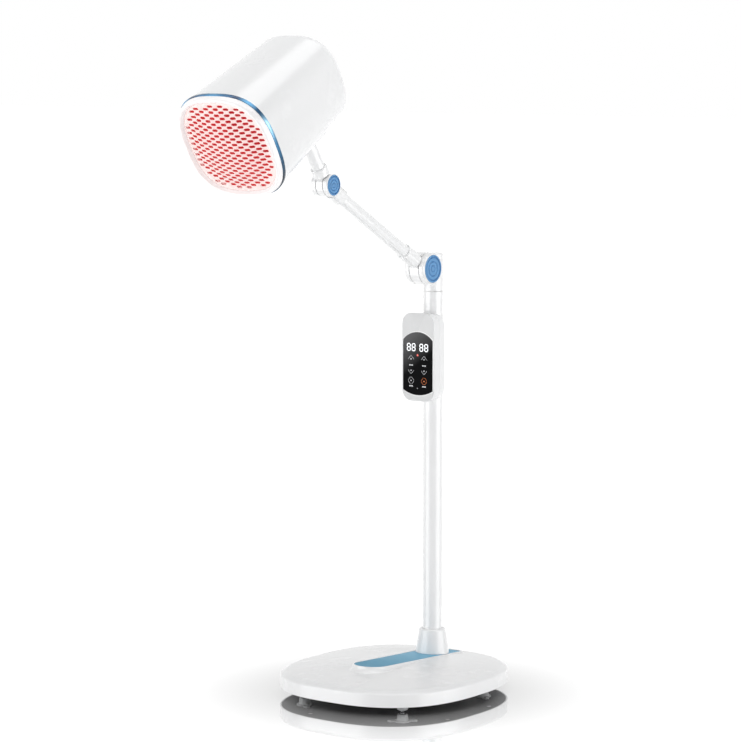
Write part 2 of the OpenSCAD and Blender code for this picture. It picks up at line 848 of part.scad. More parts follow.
// Pin with a round head on its +Y side
module joint_pin(r, head_r, head_t, y_out) {
    color("silver") {
        rod_y(r, -y_out + gap, y_out - head_t + fuse);
        rod_y(head_r, y_out - head_t, y_out - washer_gap);
    }
}

// Nut on the -Y side of a pin
module joint_nut(r, head_r, head_t, y_out) {
    color("silver") difference() {
        translate([0, -y_out + washer_gap, 0]) rotate([-90, 0, 0])
            cylinder(r = head_r, h = head_t - washer_gap, $fn = 6);
        rod_y(r + fit, -far, far);
    }
}

module joint_washers(r, washer_r, half) {
    color("dimgray") for (s = [-1, 1]) rotate([-90 * s, 0, 0])
        tube(washer_r, r + gap, half + washer_gap, half + washer_gap + washer_t);
}

// Holes of a fork for its pin, its pin's head and its nut
module fork_holes(r, head_r, head_t, y_out) {
    rod_y(r + fit, -far, far);
    rod_y(head_r + gap, y_out - head_t, far);
    rod_y(head_r + gap, -far, -y_out + head_t);
}

// Socket for a tube, from its closed end to its mouth
module socket(z0, z1) {
    rotate_extrude() polygon([
        [0, z0], [socket_r - 1.5, z0], [socket_r, z0 + 1.5], [socket_r, z1 - 1.2],
        [socket_r - 1.2, z1], [0, z1]]);
}

module at_elbow() {
    translate([elbow_x, 0, elbow_z]) children();
}

module at_wrist() {
    translate([wrist_x, 0, wrist_z]) children();
}

module elbow_yoke() {
    color("white") difference() {
        union() {
            translate([pole_x, 0, 0]) {
                rotate_extrude() polygon(concat(
                    [[0, neck_foot], [pole_r, neck_foot]],
                    [for (t = [0:15:90]) [pole_r - neck_round + neck_round * cos(t),
                                          neck_top - neck_round + neck_round * sin(t)]],
                    [[0, neck_top]]));
                translate([0, 0, pan_low]) cylinder(r = pan_r, h = neck_foot - pan_low + fuse);
            }
            at_elbow() for (s = [-1, 1])
                ear(s, elbow_in, elbow_out, elbow_r, elbow_cap_r, elbow_cap_t);
        }
        at_elbow() {
            rod_y(elbow_r + gap * 2, -elbow_in, elbow_in);
            fork_holes(elbow_pin_r, elbow_head_r, elbow_head_t, elbow_out);
        }
        translate([pole_x, 0, pan_low - 1]) cylinder(r = pan_r - 3, h = neck_foot - pan_low + 8);
    }
}

module elbow_pin() {
    at_elbow() joint_pin(elbow_pin_r, elbow_head_r, elbow_head_t, elbow_out);
}

module elbow_nut() {
    at_elbow() joint_nut(elbow_pin_r, elbow_head_r, elbow_head_t, elbow_out);
}

module elbow_washers() {
    at_elbow() joint_washers(elbow_pin_r, elbow_r * 0.55, elbow_half);
}

module elbow_cap(s) {
    at_elbow() joint_cap(s, elbow_out, elbow_cap_r, elbow_cap_t);
}

module elbow_hub() {
    start = elbow_r + socket_gap;
    web = socket_r - 2;
    color("white") difference() {
        union() {
            at_elbow() rod_y(elbow_r, -elbow_half, elbow_half);
            arm_frame() {
                translate([-web, fuse - elbow_half, 0])
                    cube([2 * web, 2 * (elbow_half - fuse), start + socket_floor * 0.8]);
                socket(start, elbow_mouth);
            }
        }
        at_elbow() rod_y(elbow_pin_r + fit, -far, far);
        arm_frame() translate([0, 0, start + socket_floor])
            cylinder(r = tube_r + fit, h = elbow_mouth);
    }
}

module arm_tube() {
    low = elbow_r + socket_gap + socket_floor + gap;
    high = arm_l - wrist_root - socket_floor - gap;
    color("white") arm_frame() tube(tube_r, tube_in, low, high);
}

module wrist_yoke() {
    color("white") difference() {
        union() {
            arm_frame() translate([0, 0, arm_l]) mirror([0, 0, 1]) socket(0, wrist_root_end);
            at_wrist() for (s = [-1, 1])
                ear(s, wrist_in, wrist_out, wrist_r, wrist_cap_r, wrist_cap_t);
        }
        arm_frame() translate([-far / 2, -wrist_in, arm_l - wrist_root])
            cube([far, 2 * wrist_in, far]);
        at_wrist() fork_holes(wrist_pin_r, wrist_head_r, wrist_head_t, wrist_out);
        arm_frame() translate([0, 0, arm_l - wrist_root_end - 1])
            cylinder(r = tube_r + fit, h = wrist_root_end - wrist_root - socket_floor + 1);
    }
}

module wrist_pin() {
    at_wrist() joint_pin(wrist_pin_r, wrist_head_r, wrist_head_t, wrist_out);
}

module wrist_nut() {
    at_wrist() joint_nut(wrist_pin_r, wrist_head_r, wrist_head_t, wrist_out);
}

module wrist_washers() {
    at_wrist() joint_washers(wrist_pin_r, wrist_r * 0.6, wrist_half);
}

module wrist_cap(s) {
    at_wrist() joint_cap(s, wrist_out, wrist_cap_r, wrist_cap_t);
}

module wrist_hub() {
    start = wrist_r + socket_gap;
    web = wrist_half * 1.4;
    color("white") difference() {
        union() {
            at_wrist() rod_y(wrist_r, -wrist_half, wrist_half);
            neck_frame() {
                translate([-web, fuse - wrist_half, 0])
                    cube([2 * web, 2 * (wrist_half - fuse), start + socket_floor * 0.8]);
                socket(start, wrist_mouth);
            }
        }
        at_wrist() rod_y(wrist_pin_r + fit, -far, far);
        neck_frame() translate([0, 0, start + socket_floor])
            cylinder(r = tube_r + fit, h = wrist_mouth);
    }
}

// ---- head ----

// Half width of the shell at a place along the head
function half_at(z) = head_half * (1 + rear_share * z);

// Distance of the shell's surface below the head's axis, at a place across and along it
function under_at(y, z, inset) =
    let (a = half_at(z) - inset)
    a * pow(1 - pow(abs(y) / a, head_power), 1 / head_power);

function head_ring_at(half, z) = lift(squircle(half, half, head_power), z);

// The head as a solid up to a front plane, its outside moved inward
module head_form(front, inset = 0) {
    r = rear_r - inset;
    core = half_at(-shoulder) - rear_r;
    loft(concat(
        [for (t = [90:-18:0]) head_ring_at(core + r * cos(t), -shoulder - r * sin(t))],
        [head_ring_at(half_at(front) - inset, front)]));
}

// Places of the screws between the shell and the saddle: across, along
saddle_places = [for (sy = [-1, 1], sz = [-1, 1])
    [sy * saddle_half_y * 0.6, -neck_back - 4 + sz * saddle_ahead * 0.75]];

module at_saddle_screws() {
    for (p = saddle_places) head_frame()
        translate([under_at(p[0], p[1], shell_wall) - saddle_seat, p[0], p[1]])
        rotate([0, 90, 0]) children();
}

module head_shell() {
    color("white") difference() {
        head_frame() difference() {
            head_form(-ring_half);
            head_form(ring_half, shell_wall);
            for (i = [0:vent_count - 1])
                translate([(i - (vent_count - 1) / 2) * vent_pitch, 0, -head_l - 1]) {
                    translate([-vent_h / 2, -vent_l / 2, 0]) cube([vent_h, vent_l, shell_wall + 2]);
                    for (s = [-1, 1]) translate([0, s * vent_l / 2, 0])
                        cylinder(r = vent_h / 2, h = shell_wall + 2);
                }
        }
        at_saddle_screws() cylinder(r = saddle_screw_r + fit, h = far / 20);
        neck_frame() translate([0, 0, neck_l - shell_wall * 2])
            cylinder(r = tube_in - 3, h = shell_wall * 6);
    }
}

module head_ring() {
    out = head_half + ring_proud;
    edge = 0.8;
    in = head_half - shell_wall - 3;
    color("steelblue") head_frame() loft(loop = true, rings = [
        head_ring_at(out, edge - ring_half), head_ring_at(out, ring_half - edge),
        head_ring_at(out - edge, ring_half), head_ring_at(in, ring_half),
        head_ring_at(in, -ring_half), head_ring_at(out - edge, -ring_half)]);
}

module head_bezel() {
    back = bezel_in - ledge_w;
    color("whitesmoke") head_frame() loft(loop = true, rings = [
        head_ring_at(head_half - 0.3, ring_half),
        head_ring_at(head_half - 1.5, bezel_front - 3.2),
        head_ring_at(head_half - 2.2, bezel_front - 1.4),
        head_ring_at(head_half - 3.4, bezel_front - 0.3),
        head_ring_at(head_half - 4.6, bezel_front),
        head_ring_at(bezel_in + bezel_slope, bezel_front - 0.5),
        head_ring_at(bezel_in, guard_edge_z + gap),
        head_ring_at(bezel_in, ledge_z), head_ring_at(back, ledge_z), head_ring_at(back, ring_half)]);
}

function slot_outline() =
    let (a = slot_l / 2, b = slot_h / 2)
    [[0, a], [-b, a - slot_point], [-b, slot_point - a], [0, -a], [b, slot_point - a], [b, a - slot_point]];

// How far out a place lies: 1 on the edge of the slotted field
function field_share(p) =
    pow(pow(abs(p[0]), head_power) + pow(abs(p[1]), head_power), 1 / head_power) / slot_field;

// Outward slope of the field's edge, on the line from its middle to a place
function edge_slope(p) = [for (v = p) sign(v) * pow(abs(v), head_power - 1)];

// What is left of an outline on the inner side of the line where n * point = d
function trimmed(outline, n, d) = [
    for (i = [0:len(outline) - 1])
        let (p = outline[i], q = outline[(i + 1) % len(outline)], a = n * p - d, b = n * q - d)
        each concat(a <= 0 ? [p] : [], a * b < 0 ? [p + (q - p) * a / (a - b)] : [])];

// One slot, cut off where it would reach past the edge of the field
function slot_at(p) =
    let (whole = [for (v = slot_outline()) v + p], edge = p / max(field_share(p), 0.01))
    field_share(p) < 0.8 ? whole : trimmed(whole, edge_slope(edge), edge_slope(edge) * edge);

// The space under the guard's dome, or the dome itself, from a height upwards
module guard_cap(r, low) {
    intersection() {
        translate([0, 0, guard_centre]) sphere(r = r, $fn = 180);
        translate([-far / 2, -far / 2, low]) cube([far, far, far]);
    }
}

module guard_block(half, low, high) {
    translate([0, 0, low]) linear_extrude(high - low) polygon(squircle(half, half, head_power));
}

// Domed sheet with a flat edge, pierced by staggered slots and turned back into a rim
module head_guard() {
    places = [
        for (j = [-slot_columns:slot_columns], i = [-slot_rows:slot_rows])
            let (p = [(i + (j % 2 == 0 ? 0 : 0.5)) * slot_pitch_x, j * slot_pitch_y])
            if (field_share(p) * slot_field < slot_field - slot_keep) p];
    color("mistyrose") head_frame() difference() {
        union() {
            guard_block(guard_half, ledge_z, guard_edge_z);
            guard_cap(guard_r, guard_edge_z - fuse);
        }
        guard_block(guard_half - guard_rim, ledge_z - 1, guard_edge_z - guard_t);
        guard_cap(guard_r - guard_t, guard_edge_z - guard_t - fuse);
        translate([0, 0, ledge_z + 0.5]) linear_extrude(bezel_depth + guard_bulge)
            for (p = places) polygon(slot_at(p));
    }
}

module reflector() {
    rear = heater_half + 4;
    front = bezel_in - ledge_w + 1.5;
    low = -heater_back - heater_t;
    high = ring_half - gap;
    color("silver") head_frame() loft(loop = true, rings = [
        head_ring_at(rear + reflector_t, low), head_ring_at(front, high),
        head_ring_at(front - reflector_t, high), head_ring_at(rear, low)]);
}

module heater_plate() {
    color("firebrick") head_frame() difference() {
        translate([0, 0, -heater_back - heater_t]) linear_extrude(heater_t)
            polygon(squircle(heater_half, heater_half, head_power));
        for (i = [-heater_grooves:heater_grooves])
            translate([i * heater_pitch - heater_pitch / 4, -far / 2, -heater_back - heater_t / 3])
                cube([heater_pitch / 2, far, heater_t]);
    }
}

module heater_posts() {
    color("ivory") head_frame() at_grid(post_xy, post_xy) translate([0, 0, -shield_back])
        cylinder(d = post_d, h = shield_back - heater_back - heater_t);
}

module heat_shield() {
    half = half_at(-shield_back - shield_t) - shell_wall - gap;
    color("silver") head_frame() translate([0, 0, -shield_back - shield_t]) difference() {
        linear_extrude(shield_t) polygon(squircle(half, half, head_power));
        for (s = [-1, 1]) translate([0, s * post_xy, -1]) cylinder(r = wire_r, h = shield_t + 2);
    }
}

module terminal_block() {
    color("ivory") head_frame() translate([0, 0, -shield_back - shield_t - block_h / 2])
        cube([block_w, block_l, block_h], center = true);
}

// Foot of the head on the neck, shaped to the underside of the shell
module head_saddle() {
    under = half_at(-neck_back);
    middle = (saddle_behind - saddle_ahead) / 2;
    half = (saddle_behind + saddle_ahead) / 2;
    color("white") difference() {
        union() {
            head_frame() translate([under, 0, -neck_back - middle]) rotate([0, 90, 0]) loft([
                lift(round_rect(half, saddle_half_y, 9), -8),
                lift(round_rect(half - 1, saddle_half_y - 1, 9), saddle_depth - 4),
                lift(round_rect(half - 2.5, saddle_half_y - 2.5, 9), saddle_depth - 1.2),
                lift(round_rect(half - 5, saddle_half_y - 5, 8), saddle_depth)]);
            neck_frame() translate([0, 0, neck_l - saddle_depth - collar_l])
                cylinder(r1 = tube_r + 2.4, r2 = saddle_r - 3, h = collar_l + 6);
        }
        head_frame() head_form(ring_half, -gap);
        neck_frame() cylinder(r = tube_r + fit, h = neck_l - socket_floor - 1);
        neck_frame() cylinder(r = tube_in - 2, h = far);
        at_saddle_screws() cylinder(r = saddle_screw_r + fit, h = saddle_screw_l + 2);
    }
}

module saddle_screws() {
    color("silver") at_saddle_screws() {
        translate([0, 0, -saddle_head_t]) cylinder(r = saddle_head_r, h = saddle_head_t);
        translate([0, 0, -fuse]) cylinder(r = saddle_screw_r, h = saddle_screw_l);
    }
}

module neck_tube() {
    low = wrist_r + socket_gap + socket_floor + gap;
    color("white") neck_frame() tube(tube_r, tube_in, low, neck_l - socket_floor - 1 - gap);
}

// ---- one line for each node ----

base_cover();
inlay_strip();
base_tray();
ballast_plate();
cover_screws();
cable_gland();
pole_socket();
socket_bolts();
pole_boot();
pole_tube();
pan_bush();
caster_screws();
for (i = [0:3]) caster_housing(i);
for (i = [0:3]) caster_ball(i);
control_front();
control_back();
control_glass();
control_board();
display_module();
relay_block();
control_screws();
clamp_screws();
elbow_yoke();
elbow_pin();
elbow_nut();
elbow_washers();
elbow_cap(1);  // elbow_cap_right
elbow_cap(-1);  // elbow_cap_left
elbow_hub();
arm_tube();
wrist_yoke();
wrist_pin();
wrist_nut();
wrist_washers();
wrist_cap(1);  // wrist_cap_right
wrist_cap(-1);  // wrist_cap_left
wrist_hub();
neck_tube();
head_saddle();
saddle_screws();
head_shell();
head_ring();
head_bezel();
head_guard();
reflector();
heater_plate();
heater_posts();
heat_shield();
terminal_block();
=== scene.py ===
import json
import math
import bmesh
import bpy
import numpy as np
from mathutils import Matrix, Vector
from mathutils.geometry import delaunay_2d_cdt


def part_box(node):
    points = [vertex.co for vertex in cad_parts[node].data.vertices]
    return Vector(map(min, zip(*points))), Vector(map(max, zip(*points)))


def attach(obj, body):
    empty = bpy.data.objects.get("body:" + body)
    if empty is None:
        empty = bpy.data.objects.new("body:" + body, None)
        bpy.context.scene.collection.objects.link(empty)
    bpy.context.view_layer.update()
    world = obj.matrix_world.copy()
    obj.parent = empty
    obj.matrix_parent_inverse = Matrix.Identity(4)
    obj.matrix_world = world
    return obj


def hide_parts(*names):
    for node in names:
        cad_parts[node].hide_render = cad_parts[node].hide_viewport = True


# Dresses the heat lamp's frame: smooth shells and a pierced guard, procedural finishes,
# a studio floor and the camera. Metres throughout; mm turns millimetres into them.

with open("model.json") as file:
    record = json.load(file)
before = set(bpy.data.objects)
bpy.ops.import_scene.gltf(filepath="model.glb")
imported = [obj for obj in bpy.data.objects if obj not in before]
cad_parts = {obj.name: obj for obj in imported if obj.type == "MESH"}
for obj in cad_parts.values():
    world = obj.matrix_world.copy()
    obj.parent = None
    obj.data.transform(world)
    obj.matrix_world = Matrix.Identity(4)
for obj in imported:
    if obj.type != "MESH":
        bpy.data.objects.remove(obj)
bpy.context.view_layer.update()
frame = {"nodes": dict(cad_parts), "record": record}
mm = 0.001
nodes = frame["nodes"]

camera = {
    "place": (3.843, 2.816, 1.057),
    "azimuth": 126.7,   # degrees round the object
    "elevation": 6.38,
    "focal": 2982.0,    # in pixels of the photograph's frame
    "frame": 742.0,     # its longer side
}


def makeCamera(c):
    data = bpy.data.cameras.new("camera")
    cam = bpy.data.objects.new("camera", data)
    bpy.context.scene.collection.objects.link(cam)
    a, e = math.radians(c["azimuth"]), math.radians(c["elevation"])
    back = Vector((math.sin(a) * math.cos(e), -math.cos(a) * math.cos(e), math.sin(e)))
    cam.location = c["place"]
    cam.rotation_mode = "QUATERNION"
    cam.rotation_quaternion = (-back).to_track_quat("-Z", "Y")
    data.sensor_width = 36.0
    data.lens = data.sensor_width * c["focal"] / c["frame"]
    data.clip_start, data.clip_end = 0.1, 60.0
    bpy.context.scene.camera = cam


makeCamera(camera)
bpy.context.scene.view_settings.view_transform = "Standard"
print("camera set")


def nodeGroup(name, inputs, outputs):
    group = bpy.data.node_groups.new(name, "ShaderNodeTree")
    for label, kind, value in inputs:
        socket = group.interface.new_socket(name=label, in_out="INPUT", socket_type=kind)
        socket.default_value = value
    for label, kind in outputs:
        group.interface.new_socket(name=label, in_out="OUTPUT", socket_type=kind)
    return group, group.nodes.new("NodeGroupInput"), group.nodes.new("NodeGroupOutput")


def feed(tree, socket, value):
    # a number or a colour is set on the socket itself, an output is linked to it
    if isinstance(value, (int, float, tuple)):
        socket.default_value = value
    else:
        tree.links.new(value, socket)


def mathNode(tree, operation, a, b=None):
    node = tree.nodes.new("ShaderNodeMath")
    node.operation = operation
    for socket, value in zip(node.inputs, (a, b)):
        if value is not None:
            feed(tree, socket, value)
    return node.outputs[0]


def rangeNode(tree, value, low, high, toLow, toHigh):
    node = tree.nodes.new("ShaderNodeMapRange")
    tree.links.new(value, node.inputs["Value"])
    for label, number in (("From Min", low), ("From Max", high), ("To Min", toLow), ("To Max", toHigh)):
        feed(tree, node.inputs[label], number)
    return node.outputs["Result"]


def mixColour(tree, factor, a, b):
    node = tree.nodes.new("ShaderNodeMix")
    node.data_type = "RGBA"
    for socket, value in ((node.inputs[0], factor), (node.inputs[6], a), (node.inputs[7], b)):
        feed(tree, socket, value)
    return node.outputs[2]


def noiseNode(tree, vector, scale, detail=3.0):
    node = tree.nodes.new("ShaderNodeTexNoise")
    tree.links.new(vector, node.inputs["Vector"])
    feed(tree, node.inputs["Scale"], scale)
    node.inputs["Detail"].default_value = detail
    return node.outputs["Fac"]


def makeSurfaceGroup():
    # fine skin of a moulded or sprayed surface: roughness drifts, a small relief covers it
    group, into, out = nodeGroup(
        "surfaceSkin",
        [("Vector", "NodeSocketVector", (0, 0, 0)), ("Scale", "NodeSocketFloat", 900.0),
         ("Smooth", "NodeSocketFloat", 0.2), ("Rough", "NodeSocketFloat", 0.3)],
        [("Roughness", "NodeSocketFloat"), ("Height", "NodeSocketFloat")])
    smear = noiseNode(group, into.outputs["Vector"], 14.0, 5.0)
    grain = noiseNode(group, into.outputs["Vector"], into.outputs["Scale"], 2.0)
    both = mathNode(group, "ADD", mathNode(group, "MULTIPLY", smear, 0.75),
                    mathNode(group, "MULTIPLY", grain, 0.25))
    rough = rangeNode(group, both, 0.35, 0.65, into.outputs["Smooth"], into.outputs["Rough"])
    group.links.new(rough, out.inputs["Roughness"])
    group.links.new(grain, out.inputs["Height"])
    return group


def makeDriftGroup():
    # slow change of colour over a piece, as in real pigment
    group, into, out = nodeGroup(
        "colourDrift",
        [("Vector", "NodeSocketVector", (0, 0, 0)), ("Colour", "NodeSocketColor", (1, 1, 1, 1)),
         ("Other", "NodeSocketColor", (1, 1, 1, 1)), ("Scale", "NodeSocketFloat", 6.0)],
        [("Colour", "NodeSocketColor")])
    cloud = noiseNode(group, into.outputs["Vector"], into.outputs["Scale"], 4.0)
    share = rangeNode(group, cloud, 0.3, 0.7, 0.0, 1.0)
    colour = mixColour(group, share, into.outputs["Colour"], into.outputs["Other"])
    group.links.new(colour, out.inputs["Colour"])
    return group


def makeDustGroup():
    # thin dust that settles where the surface faces up
    group, into, out = nodeGroup(
        "settledDust",
        [("Vector", "NodeSocketVector", (0, 0, 0)), ("Colour", "NodeSocketColor", (1, 1, 1, 1)),
         ("Dust", "NodeSocketColor", (0.6, 0.58, 0.55, 1)), ("Amount", "NodeSocketFloat", 0.05)],
        [("Colour", "NodeSocketColor"), ("Mask", "NodeSocketFloat")])
    normal = group.nodes.new("ShaderNodeNewGeometry").outputs["Normal"]
    split = group.nodes.new("ShaderNodeSeparateXYZ")
    group.links.new(normal, split.inputs[0])
    up = rangeNode(group, split.outputs["Z"], 0.5, 1.0, 0.0, 1.0)
    specks = rangeNode(group, noiseNode(group, into.outputs["Vector"], 260.0, 6.0), 0.45, 0.75, 0.2, 1.0)
    mask = mathNode(group, "MULTIPLY", mathNode(group, "MULTIPLY", up, specks), into.outputs["Amount"])
    colour = mixColour(group, mask, into.outputs["Colour"], into.outputs["Dust"])
    group.links.new(colour, out.inputs["Colour"])
    group.links.new(mask, out.inputs["Mask"])
    return group


surfaceSkin = makeSurfaceGroup()
colourDrift = makeDriftGroup()
settledDust = makeDustGroup()


def newMaterial(name, **values):
    mat = bpy.data.materials.new(name)
    mat.use_nodes = True
    tree = mat.node_tree
    bsdf = tree.nodes["Principled BSDF"]
    for label, value in values.items():
        bsdf.inputs[label].default_value = value
    coords = tree.nodes.new("ShaderNodeTexCoord").outputs["Object"]
    return mat, tree, bsdf, coords


def placeGroup(tree, group, **values):
    node = tree.nodes.new("ShaderNodeGroup")
    node.node_tree = group
    for label, value in values.items():
        feed(tree, node.inputs[label], value)
    return node


def addBump(tree, bsdf, height, strength, distance):
    bump = tree.nodes.new("ShaderNodeBump")
    bump.inputs["Strength"].default_value = strength
    bump.inputs["Distance"].default_value = distance
    tree.links.new(height, bump.inputs["Height"])
    tree.links.new(bump.outputs["Normal"], bsdf.inputs["Normal"])


def finishMaterial(name, colour, other, smooth, rough, grain=900.0, relief=0.1, dust=0.0, drift=6.0,
                   paint=None, **values):
    # the common build: drifting colour, an own paint step, dust on top, skin roughness and a fine relief
    mat, tree, bsdf, coords = newMaterial(name, **values)
    tint = placeGroup(tree, colourDrift, Vector=coords, Colour=colour, Other=other, Scale=drift)
    skin = placeGroup(tree, surfaceSkin, Vector=coords, Scale=grain, Smooth=smooth, Rough=rough)
    result = tint.outputs["Colour"]
    if paint:
        result = paint(tree, coords, result)
    if dust > 0:
        result = placeGroup(tree, settledDust, Vector=coords, Colour=result, Amount=dust).outputs["Colour"]
    tree.links.new(result, bsdf.inputs["Base Color"])
    tree.links.new(skin.outputs["Roughness"], bsdf.inputs["Roughness"])
    addBump(tree, bsdf, skin.outputs["Height"], relief, 0.1 * mm)
    return mat


def alongAxis(tree, coords, axis, start):
    # distance along a unit axis from a start point, both in metres
    shift = tree.nodes.new("ShaderNodeVectorMath")
    shift.operation = "SUBTRACT"
    tree.links.new(coords, shift.inputs[0])
    shift.inputs[1].default_value = start
    dot = tree.nodes.new("ShaderNodeVectorMath")
    dot.operation = "DOT_PRODUCT"
    tree.links.new(shift.outputs[0], dot.inputs[0])
    dot.inputs[1].default_value = axis
    return dot.outputs["Value"]


def colourRamp(tree, value, stops):
    # stops of (place, colour), smooth between them
    node = tree.nodes.new("ShaderNodeValToRGB")
    node.color_ramp.interpolation = "EASE"
    marks = node.color_ramp.elements
    while len(marks) < len(stops):
        marks.new(0.5)
    for mark, (place, colour) in zip(marks, stops):
        mark.position, mark.color = place, colour + (1,)
    tree.links.new(value, node.inputs[0])
    return node.outputs[0]


def whitePlastic():
    return finishMaterial(
        "whitePlastic", (0.87, 0.875, 0.88, 1), (0.86, 0.865, 0.873, 1), 0.25, 0.28,
        grain=1400.0, relief=0.04, dust=0.015,
        **{"Coat Weight": 0.7, "Coat Roughness": 0.22, "IOR": 1.5})


def whiteEnamel():
    return finishMaterial(
        "whiteEnamel", (0.87, 0.875, 0.88, 1), (0.85, 0.855, 0.86, 1), 0.15, 0.24,
        grain=1800.0, relief=0.03, dust=0.02,
        **{"Coat Weight": 1.0, "Coat Roughness": 0.1, "Specular IOR Level": 0.7})


def boxPlastic():
    # the control box's front half, with painted shade that makes its forward face greyer than its sides
    def paint(tree, coords, tint):
        split = tree.nodes.new("ShaderNodeSeparateXYZ")
        tree.links.new(tree.nodes.new("ShaderNodeNewGeometry").outputs["Normal"], split.inputs[0])
        # painted shade: the greyer tone follows the way the surface faces
        shadedFace = rangeNode(tree, split.outputs["X"], 0.55, 0.95, 0.0, 1.0)
        return mixColour(tree, shadedFace, tint, (0.71, 0.715, 0.72, 1))
    return finishMaterial(
        "boxPlastic", (0.87, 0.875, 0.88, 1), (0.86, 0.865, 0.87, 1), 0.3, 0.42, grain=1400.0, relief=0.04,
        paint=paint, **{"Coat Weight": 0.1, "Coat Roughness": 0.2, "Specular IOR Level": 0.3})


def blueLacquer():
    # teal at the strip's front end, paler towards the pole
    def paint(tree, coords, tint):
        share = rangeNode(tree, alongAxis(tree, coords, (-1, 0, 0), (0.06, 0, 0)), 0.0, 0.16, 0.0, 1.0)
        return mixColour(tree, share, tint, (0.2, 0.5, 0.7, 1))
    return finishMaterial(
        "blueLacquer", (0.04, 0.28, 0.45, 1), (0.05, 0.3, 0.47, 1), 0.35, 0.45,
        grain=2600.0, relief=0.04, drift=9.0, paint=paint, **{"Specular IOR Level": 0.12})


def blueCap():
    # satin plastic of the joints' covers
    return finishMaterial(
        "blueCap", (0.085, 0.28, 0.56, 1), (0.1, 0.31, 0.6, 1), 0.3, 0.42, grain=2000.0, relief=0.08,
        **{"Coat Weight": 0.2, "Coat Roughness": 0.2})


def blueRing():
    # polished trim with painted highlights and shade: its blue runs from pale to navy round the head
    def paint(tree, coords, tint):
        middle = tuple(headMiddle.tolist())
        up = alongAxis(tree, coords, tuple(-headDown), middle)
        across = mathNode(tree, "ABSOLUTE", alongAxis(tree, coords, (0, 1, 0), middle))
        turn = mathNode(tree, "DIVIDE", mathNode(tree, "ARCTAN2", across, up), math.pi)
        # painted highlights and dark reflections, set by the angle round the head's axis
        paintedSheen = colourRamp(tree, turn, [
            (0.0, (0.07, 0.27, 0.48)), (0.08, (0.03, 0.13, 0.27)), (0.15, (0.004, 0.02, 0.06)),
            (0.22, (0.1, 0.3, 0.5)), (0.29, (0.01, 0.06, 0.14)), (0.36, (0.36, 0.66, 0.88)),
            (0.5, (0.035, 0.17, 0.33)), (0.61, (0.012, 0.06, 0.12)), (0.7, (0.002, 0.004, 0.008)),
            (1.0, (0.05, 0.2, 0.4))])
        return mixColour(tree, 0.93, tint, paintedSheen)
    return finishMaterial(
        "blueRing", (0.05, 0.2, 0.38, 1), (0.07, 0.24, 0.44, 1), 0.12, 0.2, grain=3000.0, relief=0.03,
        paint=paint,
        **{"Metallic": 0.45, "Coat Weight": 0.15, "Coat Roughness": 0.05, "Specular IOR Level": 0.3})


def guardEnamel():
    # white enamel with the heater's red glow painted on, as pink colour and a faint glow of its own, least at
    # its edge
    def paint(tree, coords, tint):
        middle = tuple(headMiddle.tolist())
        across = alongAxis(tree, coords, (0, 1, 0), middle)
        down = alongAxis(tree, coords, tuple(headDown), middle)
        reach = mathNode(tree, "SQRT", mathNode(tree, "ADD", mathNode(tree, "MULTIPLY", across, across),
                                                mathNode(tree, "MULTIPLY", down, down)))
        # painted glow of the heater: paler towards the guard's edge
        return mixColour(tree, rangeNode(tree, reach, 55 * mm, 80 * mm, 0.0, 0.8), tint, (0.93, 0.8, 0.78, 1))
    return finishMaterial(
        "guardEnamel", (0.86, 0.6, 0.58, 1), (0.88, 0.66, 0.64, 1), 0.3, 0.45, grain=1500.0, relief=0.05,
        paint=paint,
        **{"Coat Weight": 0.2, "Emission Color": (1.0, 0.6, 0.56, 1), "Emission Strength": 0.12})


def bezelPlastic():
    # white plastic with a little of the heater's red glow painted on low down on one side, as pink colour and
    # a faint glow of its own
    def paint(tree, coords, tint):
        axis = tuple((headDown * 0.6 + (0, -0.8, 0)).tolist())
        low = alongAxis(tree, coords, axis, tuple(headMiddle.tolist()))
        # painted glow of the heater, growing towards one side and down
        return mixColour(tree, rangeNode(tree, low, 0.0, 90 * mm, 0.0, 0.8), tint, (0.95, 0.87, 0.86, 1))
    return finishMaterial(
        "bezelPlastic", (0.87, 0.87, 0.875, 1), (0.85, 0.85, 0.86, 1), 0.16, 0.26, grain=1400.0, relief=0.04,
        paint=paint, **{"Coat Weight": 0.25, "Coat Roughness": 0.08, "Emission Color": (1.0, 0.86, 0.84, 1),
                        "Emission Strength": 0.14})


def beadPlastic():
    # a brighter white than the box, with a faint white glow of its own: a painted highlight
    return finishMaterial(
        "beadPlastic", (0.93, 0.93, 0.93, 1), (0.91, 0.91, 0.915, 1), 0.2, 0.3, grain=1400.0, relief=0.03,
        **{"Emission Color": (1, 1, 1, 1), "Emission Strength": 0.08})


def capShade():
    # painted shade for the caps' grooves: a darker blue than the caps
    return finishMaterial(
        "capShade", (0.045, 0.18, 0.41, 1), (0.055, 0.2, 0.44, 1), 0.4, 0.5, grain=2000.0, relief=0.08)


def trayPlastic():
    return finishMaterial(
        "trayPlastic", (0.09, 0.09, 0.095, 1), (0.12, 0.12, 0.125, 1), 0.45, 0.6, grain=700.0, relief=0.4)


def darkPlastic():
    return finishMaterial(
        "darkPlastic", (0.025, 0.025, 0.028, 1), (0.035, 0.035, 0.04, 1), 0.4, 0.55, grain=900.0, relief=0.3)


def paleNylon():
    return finishMaterial(
        "paleNylon", (0.74, 0.74, 0.73, 1), (0.68, 0.68, 0.67, 1), 0.4, 0.55, grain=1500.0, relief=0.1)


def circuitBoard():
    return finishMaterial(
        "circuitBoard", (0.01, 0.08, 0.04, 1), (0.015, 0.11, 0.05, 1), 0.3, 0.45, grain=400.0, relief=0.2)


